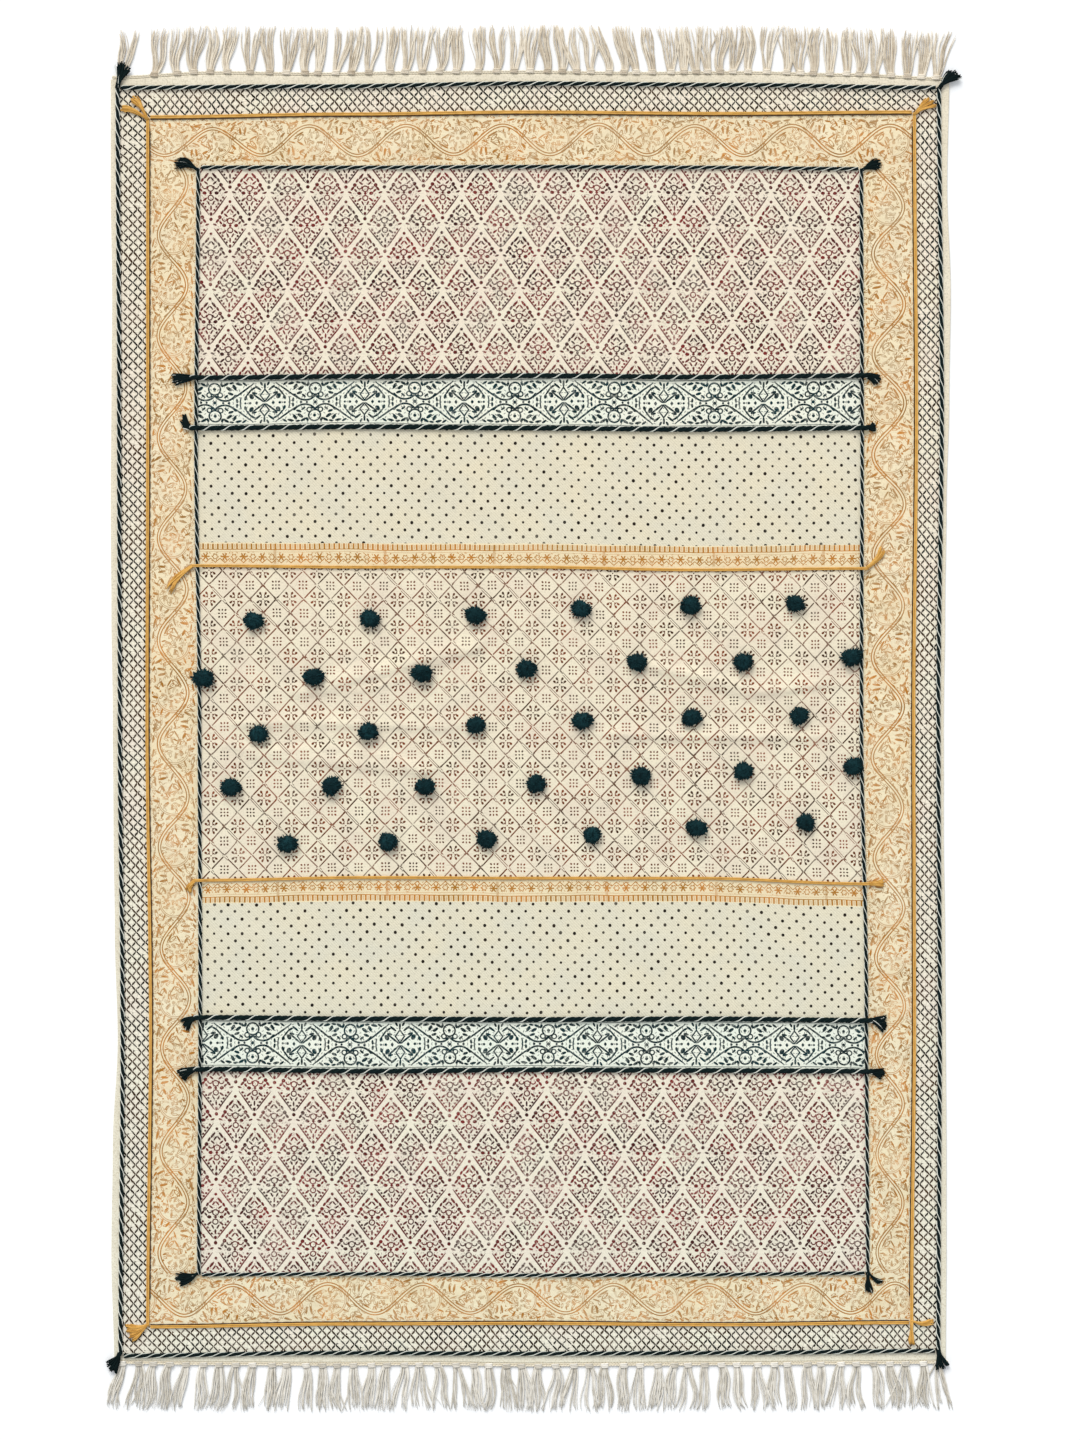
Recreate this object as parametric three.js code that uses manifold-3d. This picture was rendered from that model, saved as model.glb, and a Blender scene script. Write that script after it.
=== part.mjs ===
// A flat-woven cotton dhurrie: a printed cloth with knotted fringe at both ends, cords sewn along its
// borders and bands, the frayed ends of those cords, and five rows of pompoms in the middle field.
// Millimetres. +X runs across the rug, +Y along it and +Z up; the origin is on the floor under its middle.
import * as THREE from "three";
import { mergeVertices } from "three/addons/utils/BufferGeometryUtils.js";
import Module from "manifold-3d";

const wasm = await Module();
wasm.setup();

// Cloth
const clothWidth = 1200;
const clothLength = 1840;
const clothThickness = 2.4;
const fieldHalfWidth = 452; // the ripples lie inside this
const fieldColumns = 12;
const borderRows = 5; // rows of the grid in each half outside the rippled middle
const middleRows = 17;
const middleHalfLength = 190;

// The gap between pieces that touch
const seatGap = 0.3;

// The size below which the faces left by a join are merged into their neighbours
const sliverSize = 0.1;

// Fringe
const fringeReach = 70;
const fringeStripDepth = 5;
const fringeStripHeight = 2.4;
const bunchesPerEnd = 51;
const bunchMargin = 14; // from the cloth's corner to the first bunch
const bunchJitter = 3;
const knotWidth = 8.5;
const knotLength = 8;
const knotHeight = 3.6;
const knotRootShare = 0.6; // size of the knot where it leaves the strip
const bunchRootWidth = 6;
const bunchTipWidth = 9;
const lockHeight = 2.2;
const lockSteps = 2;
const lockTaper = 0.3; // share of its height that a lock loses towards its tip
const splitShare = 0.25; // share of the bunches that part into two locks
const splitWidthShare = 0.62; // width of each against a whole bunch
const splitRoot = 0.8; // half the distance between their middles at the knot, half way and at the tips
const splitBend = 3;
const splitSpread = 4.2;
const lockLengthJitter = 5;

// Frayed cord ends, with sizes as shares of the cord's own section
const tailRootDepth = 3; // how far the root of a frayed lock reaches into its cord
const tailWidthShare = 0.75;
const tailHeightShare = 0.7;
const tailStraightShare = 0.35; // how far a lock goes on in line with its cord
const tailTurnShare = 0.25; // how far its bend then leans to its tip

// Pompoms
const pompomDiameter = 28;
const pompomHeight = 15;
const pompomSizeJitter = 0.04;
const pompomRoughness = 0.07; // share of the radius by which the tufts stand in and out
const pompomSeatShare = 0.3; // how far up its half height the ball is pressed flat

// Sections of the sewn cords, with the height of each cord over the cloth
const sections = {
  outer: { width: 5.6, height: 4.2 },
  inner: { width: 4.7, height: 3.6 },
  band: { width: 7.4, height: 5.4 },
  mustard: { width: 5.0, height: 3.6 },
  middle: { width: 4.2, height: 3.2 },
};
const cordSteps = 8;
const endCordMargin = 1.2; // spare length between a frame's end cord and the frayed corner it runs up to
const crossingReach = 11; // half the length over which a crossing cord is lifted
const crossingMargin = 0.8; // spare width of the lifted stretch on each side of the cord under it
const crossingOverhang = 9; // how far a crossing cord runs past the cord under it
const crossingStations = [-3.5, 3.5, 7, crossingReach]; // from the cord under it, inwards over the field

const greenYarn = { color: 0x12292b, roughness: 0.85, metalness: 0 };
const mustardYarn = { color: 0xd0912f, roughness: 0.8, metalness: 0 };
const creamCotton = { color: 0xe4d9c4, roughness: 0.9, metalness: 0 };
const naturalYarn = { color: 0xcdbfa6, roughness: 0.9, metalness: 0 };

// How far the cloth's edges stand from the plain rectangle: the sides from bottom to top, the ends from
// left to right.
const edges = {
  left: [5, 1, 3, 10, 6, 4, 3, 1, 0, 1, 2, 0, 0],
  right: [-5, -4, -4, -5, -6, -8, -8, -6, -4, 0, 2, -3, 0],
  top: [-4, 3, 1, 3, 4, 2, 3, 0, -6],
  bottom: [3, 1, 0, 1, -1, 0, 1, 2, 3],
};

// The soft ripples of the middle field, each a rounded ridge along a line.
const ripples = [
  { fromX: -330, fromY: 38, toX: -75, toY: 104, height: 3.4, halfWidth: 24 },
  { fromX: -410, fromY: -6, toX: -60, toY: -8, height: 1.8, halfWidth: 22 },
  { fromX: -400, fromY: -50, toX: -150, toY: -74, height: 2.8, halfWidth: 24 },
  { fromX: 170, fromY: 76, toX: 315, toY: 36, height: 3.2, halfWidth: 24 },
  { fromX: 315, fromY: 36, toX: 410, toY: 50, height: 2.6, halfWidth: 24 },
  { fromX: 130, fromY: -22, toX: 410, toY: -28, height: 2.0, halfWidth: 22 },
];

// Cords along the sides, bottom to top, that wander a little from x. Each end frays into locks, whose tips
// are given from the cord's end.
const sideCords = [
  {
    name: "cord_outer_left",
    section: "outer",
    x: -587,
    wander: [1, 4, 0, -1, -3],
    fromY: -908,
    toY: 906,
    endTips: [{ x: -4, y: 33 }, { x: 3, y: 35 }, { x: 19, y: 27 }],
    startTips: [{ x: -20, y: -15 }, { x: -15, y: -23 }, { x: -7, y: -27 }],
  },
  {
    name: "cord_outer_right",
    section: "outer",
    x: 586,
    wander: [-2, 0, -2, 3, -1],
    fromY: -904,
    toY: 905,
    endTips: [{ x: 17, y: 24 }, { x: 25, y: 21 }, { x: 31, y: 15 }],
    startTips: [{ x: -3, y: -26 }, { x: 6, y: -25 }, { x: 14, y: -20 }],
  },
  {
    name: "cord_mustard_left",
    section: "mustard",
    x: -547,
    wander: [0, 4, -1, 0, 0],
    fromY: -868,
    toY: 861,
    endTips: [{ x: -20, y: 32 }, { x: -27, y: 25 }, { x: -38, y: 17 }, { x: -40, y: 9 }],
    startTips: [{ x: -31, y: 1 }, { x: -31, y: -7 }, { x: -28, y: -14 }, { x: -22, y: -20 }],
  },
  {
    name: "cord_mustard_right",
    section: "mustard",
    x: 549,
    wander: [-3, 1, 0, 4, 1],
    fromY: -863,
    toY: 868,
    endTips: [{ x: 21, y: 21 }, { x: 28, y: 17 }, { x: 32, y: 10 }],
    startTips: [{ x: 31, y: -1 }, { x: 30, y: 5 }, { x: -4, y: -30 }, { x: 3, y: -31 }],
  },
  {
    name: "cord_inner_left",
    section: "inner",
    x: -474,
    wander: [0, 2, 1, -4, -1],
    fromY: -794,
    toY: 789,
    endTips: [{ x: -28, y: 14 }, { x: -33, y: 9 }, { x: -32, y: 3 }],
    startTips: [{ x: -33, y: -1 }, { x: -33, y: -8 }, { x: -28, y: -14 }],
  },
  {
    name: "cord_inner_right",
    section: "inner",
    x: 477,
    wander: [6, 4, -3, -2, -3],
    fromY: -793,
    toY: 788,
    endTips: [{ x: 24, y: 12 }, { x: 28, y: 8 }, { x: 27, y: 2 }],
    startTips: [{ x: -2, y: -26 }, { x: 5, y: -27 }, { x: 21, y: -12 }],
  },
];

// Cords across the rug that close the three frames, left to right, between the two side cords named.
const endCords = [
  { name: "cord_outer_top", section: "outer", y: 907, wander: [-3, -1, 3, 1, -3], between: "outer" },
  { name: "cord_outer_bottom", section: "outer", y: -907, wander: [-3, 1, 0, 1, 4], between: "outer" },
  { name: "cord_mustard_top", section: "mustard", y: 866, wander: [-4, 0, 3, 1, 3], between: "mustard" },
  { name: "cord_mustard_bottom", section: "mustard", y: -865, wander: [-4, 0, 1, -1, 2], between: "mustard" },
  { name: "cord_inner_top", section: "inner", y: 790, wander: [0, 0, 1, 0, -2], between: "inner" },
  { name: "cord_inner_bottom", section: "inner", y: -794, wander: [0, 1, -1, 0, 2], between: "inner" },
];

// Cords across the field that pass over the inner side cords and fray beyond them, left to right. The tips
// are given from the crossing.
const crossCords = [
  {
    name: "cord_band_upper_a",
    section: "band",
    y: 491,
    wander: [-2, 0, 1, -1, 1],
    leftTips: [{ x: -36, y: 3 }, { x: -35, y: -4 }, { x: -31, y: -9 }],
    rightTips: [{ x: 25, y: -3 }, { x: 26, y: -8 }, { x: 22, y: -12 }],
  },
  {
    name: "cord_band_upper_b",
    section: "band",
    y: 417,
    wander: [0, 2, 0, -2, 0],
    leftTips: [{ x: -16, y: 20 }, { x: -20, y: 12 }, { x: -19, y: 2 }],
    rightTips: [{ x: 19, y: -5 }, { x: 20, y: 1 }, { x: 17, y: 7 }],
  },
  {
    name: "cord_band_lower_a",
    section: "band",
    y: -428,
    wander: [2, 0, -1, 0, -2],
    leftTips: [{ x: -28, y: -4 }, { x: -24, y: -13 }, { x: -18, y: -19 }],
    rightTips: [{ x: 29, y: 5 }, { x: 29, y: -4 }, { x: 29, y: -11 }, { x: 25, y: -17 }],
  },
  {
    name: "cord_band_lower_b",
    section: "band",
    y: -502,
    wander: [2, -1, 1, 0, -1],
    leftTips: [{ x: -33, y: -4 }, { x: -29, y: -10 }, { x: -24, y: -16 }],
    rightTips: [{ x: 25, y: 2 }, { x: 26, y: -4 }, { x: 22, y: -10 }],
  },
  {
    name: "cord_middle_upper",
    section: "middle",
    y: 217,
    wander: [3, 1, 1, -3, -1],
    leftTips: [{ x: -44, y: -32 }, { x: -39, y: -38 }],
    rightTips: [{ x: 33, y: 26 }, { x: 28, y: 31 }],
  },
  {
    name: "cord_middle_lower",
    section: "middle",
    y: -228,
    wander: [-2, 2, 1, 1, -7],
    leftTips: [{ x: -19, y: -14 }, { x: -14, y: -18 }],
    rightTips: [{ x: 29, y: 4 }, { x: 28, y: -2 }],
  },
];

// The pompoms' places, row by row from the top, each row left to right.
const pompomRows = [
  { row: "a", x: [-395, -229, -78, 73, 229, 379], y: [141, 144, 149, 158, 163, 166] },
  { row: "b", x: [-467, -309, -155, -5, 153, 305, 460], y: [59, 61, 66, 72, 82, 82, 89] },
  { row: "c", x: [-388, -231, -77, 75, 231, 385], y: [-21, -17, -8, -2, 3, 5] },
  { row: "d", x: [-428, -284, -150, 9, 159, 305, 462], y: [-97, -95, -96, -92, -81, -74, -67] },
  { row: "e", x: [-347, -203, -62, 89, 238, 394], y: [-178, -175, -171, -165, -155, -147] },
];

// How the fringe leans, as the sideways shift of a lock's tip, at evenly spaced places from left to right.
const fringeLean = {
  top: [14, 2, 3, 7, 8, 7, 6, 2, -8, -9, 1, 3, 1, 5, 2, 10],
  bottom: [-6, 3, -3, 5, 2, -5, 3, 6, -4, 3, -5, 4, 5, -3, 6, 4],
};

// Section corners, listed anticlockwise seen against the direction of travel: across as a share of the
// width, up as a share of the height. Both have a flat underside.
const cordProfile = [
  { across: -0.32, up: 0 },
  { across: 0.32, up: 0 },
  { across: 0.5, up: 0.45 },
  { across: 0.24, up: 1 },
  { across: -0.24, up: 1 },
  { across: -0.5, up: 0.45 },
];
const lockProfile = [
  { across: -0.5, up: 0 },
  { across: 0.5, up: 0 },
  { across: 0, up: 1 },
];
const bunchProfile = [
  { across: -0.5, up: 0 },
  { across: 0.5, up: 0 },
  { across: 0.34, up: 1 },
  { across: -0.34, up: 1 },
];
const stripProfile = [
  { across: -0.5, up: 0 },
  { across: 0.5, up: 0 },
  { across: 0.5, up: 1 },
  { across: -0.5, up: 1 },
];

const clothTop = clothThickness;
const cordSeat = clothTop + seatGap;
const knotClearance = knotHeight + seatGap - cordSeat; // lift of a tail that lies over the fringe knots

// A value on a smooth line through evenly spaced readings, at a share of the way along them.
function reading(values, share) {
  const place = THREE.MathUtils.clamp(share, 0, 1) * (values.length - 1);
  const index = Math.min(Math.floor(place), values.length - 2);
  const blend = THREE.MathUtils.smoothstep(place - index, 0, 1);
  return THREE.MathUtils.lerp(values[index], values[index + 1], blend);
}

// A repeatable wobble between -1 and 1 for a numbered piece.
function wobble(number, kind) {
  const raw = Math.sin(number * 12.9898 + kind * 78.233) * 43758.5453;
  return (raw - Math.floor(raw)) * 2 - 1;
}

function spread(from, to, steps) {
  return Array.from({ length: steps + 1 }, (_, step) => from + ((to - from) * step) / steps);
}

function solidFrom(geometry) {
  const bare = geometry.clone();
  bare.deleteAttribute("normal");
  bare.deleteAttribute("uv");
  const merged = mergeVertices(bare, 1e-4);
  const mesh = new wasm.Mesh({
    numProp: 3,
    vertProperties: merged.getAttribute("position").array,
    triVerts: new Uint32Array(merged.index.array),
  });
  return new wasm.Manifold(mesh);
}

// A solid's mesh, with the slivers left by joining and cutting merged away.
function geometryFrom(solid) {
  const mesh = solid.simplify(sliverSize).getMesh();
  const geometry = new THREE.BufferGeometry();
  geometry.setAttribute("position", new THREE.BufferAttribute(mesh.vertProperties, 3));
  geometry.setIndex(new THREE.BufferAttribute(mesh.triVerts, 1));
  return geometry;
}

function geometryOf(positions, triangles) {
  const geometry = new THREE.BufferGeometry();
  geometry.setAttribute("position", new THREE.Float32BufferAttribute(positions, 3));
  geometry.setIndex(triangles);
  return geometry;
}

// A bar with flat ends that follows a route of stations. Each station has its place on the underside, and
// the width and height of the section there.
function sweptBar(route, profile) {
  const corners = profile.length;
  const positions = [];
  const triangles = [];
  route.forEach((station, i) => {
    const before = route[Math.max(i - 1, 0)].at;
    const after = route[Math.min(i + 1, route.length - 1)].at;
    const heading = new THREE.Vector2(after.x - before.x, after.y - before.y).normalize();
    for (const corner of profile) {
      const across = corner.across * station.width;
      const x = station.at.x - heading.y * across;
      const y = station.at.y + heading.x * across;
      positions.push(x, y, station.at.z + corner.up * station.height);
    }
  });
  for (let i = 0; i < route.length - 1; i++) {
    for (let j = 0; j < corners; j++) {
      const a = i * corners + j;
      const b = i * corners + ((j + 1) % corners);
      triangles.push(a, b, b + corners, a, b + corners, a + corners);
    }
  }
  const last = (route.length - 1) * corners;
  for (let j = 1; j < corners - 1; j++) {
    triangles.push(0, j + 1, j);
    triangles.push(last, last + j, last + j + 1);
  }
  return geometryOf(positions, triangles);
}

function sideX(side, y) {
  const offset = reading(edges[side], y / clothLength + 0.5);
  return (side === "left" ? -0.5 : 0.5) * clothWidth + offset;
}

function endY(end, x) {
  const offset = reading(edges[end], x / clothWidth + 0.5);
  return (end === "bottom" ? -0.5 : 0.5) * clothLength + offset;
}

// The lift of the cloth off the floor in its ripples.
function rippleLift(x, y) {
  let lift = 0;
  for (const ripple of ripples) {
    const runX = ripple.toX - ripple.fromX;
    const runY = ripple.toY - ripple.fromY;
    const along = ((x - ripple.fromX) * runX + (y - ripple.fromY) * runY) / (runX * runX + runY * runY);
    const share = THREE.MathUtils.clamp(along, 0, 1);
    const away = Math.hypot(x - ripple.fromX - share * runX, y - ripple.fromY - share * runY);
    if (away < ripple.halfWidth) {
      const bump = Math.cos((away / ripple.halfWidth) * (Math.PI / 2)) ** 2;
      lift = Math.max(lift, ripple.height * bump);
    }
  }
  return lift;
}

const clothColumns = [
  -clothWidth / 2,
  ...spread(-fieldHalfWidth, fieldHalfWidth, fieldColumns),
  clothWidth / 2,
];
const clothRows = [
  ...spread(-clothLength / 2, -middleHalfLength, borderRows),
  ...spread(-middleHalfLength, middleHalfLength, middleRows).slice(1),
  ...spread(middleHalfLength, clothLength / 2, borderRows).slice(1),
];

function clothPoint(column, row) {
  const plainX = clothColumns[column];
  const plainY = clothRows[row];
  const endShare = Math.abs(plainY) / (clothLength / 2);
  const end = plainY < 0 ? "bottom" : "top";
  const pull = (endY(end, plainX) - Math.sign(plainY) * (clothLength / 2)) * endShare ** 4;
  const x = THREE.MathUtils.lerp(sideX("left", plainY), sideX("right", plainY), plainX / clothWidth + 0.5);
  return { x, y: plainY + pull, lift: rippleLift(x, plainY) };
}

function clothGeometry() {
  const positions = [];
  const triangles = [];
  const across = clothColumns.length;
  for (const thickness of [0, clothThickness]) {
    clothRows.forEach((_, row) => {
      for (let column = 0; column < across; column++) {
        const point = clothPoint(column, row);
        positions.push(point.x, point.y, point.lift + thickness);
      }
    });
  }
  const layer = clothRows.length * across;
  const quad = (a, b, c, d) => triangles.push(a, b, c, a, c, d);
  for (let row = 0; row < clothRows.length - 1; row++) {
    for (let column = 0; column < across - 1; column++) {
      const a = row * across + column;
      quad(a, a + across, a + across + 1, a + 1);
      quad(layer + a, layer + a + 1, layer + a + across + 1, layer + a + across);
    }
    const left = row * across;
    const right = left + across - 1;
    quad(left, layer + left, layer + left + across, left + across);
    quad(right, right + across, layer + right + across, layer + right);
  }
  for (let column = 0; column < across - 1; column++) {
    const far = layer - across + column;
    quad(column, column + 1, layer + column + 1, layer + column);
    quad(far, layer + far, layer + far + 1, far + 1);
  }
  return geometryOf(positions, triangles);
}

// The corner points of the cloth's edge at one end, left to right.
function endCorners(end) {
  const row = end === "bottom" ? 0 : clothRows.length - 1;
  return clothColumns.map((_, column) => clothPoint(column, row));
}

// The cloth's edge at a place across one end, on the straight line between its corner points.
function edgeAt(corners, x) {
  const after = corners.findIndex((corner, i) => i > 0 && (corner.x >= x || i === corners.length - 1));
  const near = corners[after - 1];
  const far = corners[after];
  return near.y + ((far.y - near.y) * (x - near.x)) / (far.x - near.x);
}

// The fringe of one end: a narrow strip along the cloth's edge that carries knotted bunches, some of which
// part into two locks.
function fringeGeometry(end) {
  const outward = end === "bottom" ? -1 : 1;
  const stripOffset = outward * (seatGap + fringeStripDepth / 2);
  const corners = endCorners(end);
  const pieces = [];
  const stripRoute = corners.map((corner) => ({
    at: new THREE.Vector3(corner.x, corner.y + stripOffset, 0),
    width: fringeStripDepth,
    height: fringeStripHeight,
  }));
  pieces.push(solidFrom(sweptBar(stripRoute, stripProfile)));
  for (let bunch = 0; bunch < bunchesPerEnd; bunch++) {
    const share = bunch / (bunchesPerEnd - 1);
    const plainX = (clothWidth / 2 - bunchMargin) * (2 * share - 1);
    const rootX = plainX + bunchJitter * wobble(bunch, outward);
    const edgeY = edgeAt(corners, rootX);
    const lean = reading(fringeLean[end], share) + 2 * wobble(bunch, outward + 2);
    const splits = wobble(bunch, outward + 9) > 1 - 2 * splitShare;
    for (const side of splits ? [-1, 1] : [0]) {
      const reach = fringeReach + lockLengthJitter * (wobble(bunch * 2 + side, outward + 5) - 0.5);
      const slim = splits ? splitWidthShare : 1;
      const tipX = rootX + lean + side * splitSpread + wobble(bunch + side, outward + 7);
      const curve = new THREE.QuadraticBezierCurve(
        new THREE.Vector2(rootX + side * splitRoot, seatGap + knotLength),
        new THREE.Vector2(rootX + side * splitBend, reach / 2),
        new THREE.Vector2(tipX, reach),
      );
      const knot = [
        { x: rootX, out: seatGap + 1, width: knotWidth * knotRootShare, height: knotHeight * knotRootShare },
        { x: rootX, out: seatGap + knotLength / 2, width: knotWidth, height: knotHeight },
      ];
      const lock = curve.getPoints(lockSteps).map((spot, i) => ({
        x: spot.x,
        out: spot.y,
        width: THREE.MathUtils.lerp(bunchRootWidth, bunchTipWidth, i / lockSteps) * slim,
        height: lockHeight * (1 - (lockTaper * i) / lockSteps),
      }));
      const stations = side === 1 ? lock : [...knot, ...lock];
      const route = stations.map(({ x, out, width, height }) => ({
        at: new THREE.Vector3(x, edgeY + outward * out, 0),
        width,
        height,
      }));
      pieces.push(solidFrom(sweptBar(route, bunchProfile)));
    }
  }
  return geometryFrom(wasm.Manifold.union(pieces));
}

// How far a crossing cord is lifted, at a distance from the side cord under it.
function crossingLift(distance) {
  const over = sections.inner.height + seatGap;
  const flat = sections.inner.width / 2 + seatGap + crossingMargin;
  const share = THREE.MathUtils.clamp((distance - flat) / (crossingReach - flat), 0, 1);
  return over * Math.cos(share * (Math.PI / 2)) ** 2;
}

function station(x, y, lift, section) {
  return {
    at: new THREE.Vector3(x, y, cordSeat + lift),
    width: sections[section].width,
    height: sections[section].height,
  };
}

// Locks that fan out of a cord's end and lie on the cloth, or on the fringe knots at the outer corners.
function tail(end, away, tips, section, rootLift) {
  const size = sections[section];
  const tipZ = cordSeat + (section === "outer" ? knotClearance : 0);
  return tips.map((offset) => {
    const tip = new THREE.Vector3(end.x + offset.x, end.y + offset.y, tipZ);
    const reach = Math.hypot(offset.x, offset.y);
    const rootX = end.x - away.x * tailRootDepth;
    const rootY = end.y - away.y * tailRootDepth;
    const straight = reach * tailStraightShare;
    const bend = new THREE.Vector3(end.x + away.x * straight, end.y + away.y * straight, tipZ);
    const root = new THREE.Vector3(rootX, rootY, cordSeat + rootLift);
    const curve = new THREE.QuadraticBezierCurve3(root, bend.lerp(tip, tailTurnShare), tip);
    const route = curve.getPoints(lockSteps).map((at, i) => ({
      at,
      width: size.width * tailWidthShare,
      height: size.height * tailHeightShare * (1 - (lockTaper * i) / lockSteps),
    }));
    return solidFrom(sweptBar(route, lockProfile));
  });
}

function sideCordX(cord, y) {
  return cord.x + reading(cord.wander, (y - cord.fromY) / (cord.toY - cord.fromY));
}

function sideCordNamed(frame, side) {
  return sideCords.find((cord) => cord.name === `cord_${frame}_${side}`);
}

function sideCordGeometry(cord) {
  const route = spread(cord.fromY, cord.toY, cordSteps).map((y) =>
    station(sideCordX(cord, y), y, 0, cord.section),
  );
  const start = { x: sideCordX(cord, cord.fromY), y: cord.fromY };
  const end = { x: sideCordX(cord, cord.toY), y: cord.toY };
  const rootLift = cord.section === "outer" ? knotClearance : 0;
  const pieces = [
    solidFrom(sweptBar(route, cordProfile)),
    ...tail(start, { x: 0, y: -1 }, cord.startTips, cord.section, rootLift),
    ...tail(end, { x: 0, y: 1 }, cord.endTips, cord.section, rootLift),
  ];
  return geometryFrom(wasm.Manifold.union(pieces));
}

function endCordGeometry(cord) {
  const clearance = sections[cord.section].width / 2 + seatGap + endCordMargin;
  const fromX = sideCordX(sideCordNamed(cord.between, "left"), cord.y) + clearance;
  const toX = sideCordX(sideCordNamed(cord.between, "right"), cord.y) - clearance;
  const route = spread(fromX, toX, cordSteps).map((x) =>
    station(x, cord.y + reading(cord.wander, (x - fromX) / (toX - fromX)), 0, cord.section),
  );
  return sweptBar(route, cordProfile);
}

function crossCordGeometry(cord) {
  const leftX = sideCordX(sideCordNamed("inner", "left"), cord.y);
  const rightX = sideCordX(sideCordNamed("inner", "right"), cord.y);
  const fromX = leftX - crossingOverhang;
  const toX = rightX + crossingOverhang;
  const xs = [
    fromX,
    ...crossingStations.map((offset) => leftX + offset),
    ...spread(leftX + crossingReach, rightX - crossingReach, cordSteps).slice(1, -1),
    ...crossingStations.map((offset) => rightX - offset).reverse(),
    toX,
  ];
  const crossingY = (x) => cord.y + reading(cord.wander, (x - leftX) / (rightX - leftX));
  const route = xs.map((x) => {
    const lift = Math.max(crossingLift(Math.abs(x - leftX)), crossingLift(Math.abs(x - rightX)));
    return station(x, crossingY(x), lift, cord.section);
  });
  const rootLift = crossingLift(crossingOverhang);
  const shift = (tips, away) => tips.map((tip) => ({ x: tip.x - away * crossingOverhang, y: tip.y }));
  const left = { x: fromX, y: crossingY(fromX) };
  const right = { x: toX, y: crossingY(toX) };
  const pieces = [
    solidFrom(sweptBar(route, cordProfile)),
    ...tail(left, { x: -1, y: 0 }, shift(cord.leftTips, -1), cord.section, rootLift),
    ...tail(right, { x: 1, y: 0 }, shift(cord.rightTips, 1), cord.section, rootLift),
  ];
  return geometryFrom(wasm.Manifold.union(pieces));
}

// The height of the cloth's faceted top at a point of the middle field.
function clothHeightAt(x, y) {
  const plainX = ((x - sideX("left", y)) / (sideX("right", y) - sideX("left", y)) - 0.5) * clothWidth;
  const column = clothColumns.findIndex((columnX) => columnX > plainX) - 1;
  const row = clothRows.findIndex((rowY) => rowY > y) - 1;
  const u = (plainX - clothColumns[column]) / (clothColumns[column + 1] - clothColumns[column]);
  const v = (y - clothRows[row]) / (clothRows[row + 1] - clothRows[row]);
  const near = clothPoint(column, row).lift;
  const far = clothPoint(column + 1, row + 1).lift;
  const aside = u > v ? clothPoint(column + 1, row).lift : clothPoint(column, row + 1).lift;
  const slope = u > v ? u * (aside - near) + v * (far - aside) : v * (aside - near) + u * (far - aside);
  return clothTop + near + slope;
}

// The highest point of the cloth under a pompom's flat foot.
function pompomSeat(x, y) {
  let highest = 0;
  for (const radius of spread(0, pompomDiameter * 0.4, 4)) {
    for (const turn of spread(0, 2 * Math.PI, 16)) {
      highest = Math.max(highest, clothHeightAt(x + radius * Math.cos(turn), y + radius * Math.sin(turn)));
    }
  }
  return highest + seatGap;
}

// A dense ball of cut yarn, pressed flat where it is sewn down, with a groove where a side cord runs under it.
function pompomGeometry(x, y, number) {
  const ball = new THREE.IcosahedronGeometry(1, 1);
  const places = ball.getAttribute("position");
  const halfHeight = (pompomHeight / 2) * (1 + pompomSizeJitter * wobble(number, 11));
  const radius = (pompomDiameter / 2) * (1 + pompomSizeJitter * wobble(number, 12));
  const foot = pompomSeatShare - 1;
  const seat = pompomSeat(x, y);
  const point = new THREE.Vector3();
  for (let i = 0; i < places.count; i++) {
    point.fromBufferAttribute(places, i);
    const spot = Math.round(point.x * 50) + Math.round(point.y * 50) * 1.7 + Math.round(point.z * 50) * 2.3;
    point.multiplyScalar(1 + pompomRoughness * wobble(spot, number));
    point.z = Math.max(point.z, foot);
    places.setXYZ(i, x + point.x * radius, y + point.y * radius, seat + (point.z - foot) * halfHeight);
  }
  let solid = solidFrom(ball);
  for (const side of ["left", "right"]) {
    const cord = sideCordNamed("inner", side);
    const cordX = sideCordX(cord, y);
    if (Math.abs(cordX - x) > pompomDiameter / 2 + sections.inner.width) continue;
    const groove = spread(y - pompomDiameter, y + pompomDiameter, 4).map((grooveY) => ({
      at: new THREE.Vector3(sideCordX(cord, grooveY), grooveY, clothTop - seatGap),
      width: sections.inner.width + 3 * seatGap,
      height: sections.inner.height + 4 * seatGap,
    }));
    solid = solid.subtract(solidFrom(sweptBar(groove, stripProfile)));
  }
  return geometryFrom(solid);
}

const rug = new THREE.Group();

function addPiece(name, geometry, finish) {
  const mesh = new THREE.Mesh(geometry, new THREE.MeshStandardMaterial(finish));
  mesh.name = name;
  rug.add(mesh);
}

function cordFinish(section) {
  return section === "mustard" || section === "middle" ? mustardYarn : greenYarn;
}

addPiece("dhurrie_cloth", clothGeometry(), creamCotton);
addPiece("fringe_top", fringeGeometry("top"), naturalYarn);
addPiece("fringe_bottom", fringeGeometry("bottom"), naturalYarn);
for (const cord of sideCords) addPiece(cord.name, sideCordGeometry(cord), cordFinish(cord.section));
for (const cord of endCords) addPiece(cord.name, endCordGeometry(cord), cordFinish(cord.section));
for (const cord of crossCords) addPiece(cord.name, crossCordGeometry(cord), cordFinish(cord.section));
pompomRows.forEach(({ row, x, y }, rowIndex) => {
  x.forEach((pompomX, index) => {
    const number = rowIndex * 7 + index;
    addPiece(`pompom_${row}${index + 1}`, pompomGeometry(pompomX, y[index], number), greenYarn);
  });
});

// The origin is brought to the middle of the rug's box, on the floor.
const box = new THREE.Box3().setFromObject(rug);
const middle = box.getCenter(new THREE.Vector3());
rug.position.set(-middle.x, -middle.y, -box.min.z);

export default rug;
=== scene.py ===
import math
import random

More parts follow.
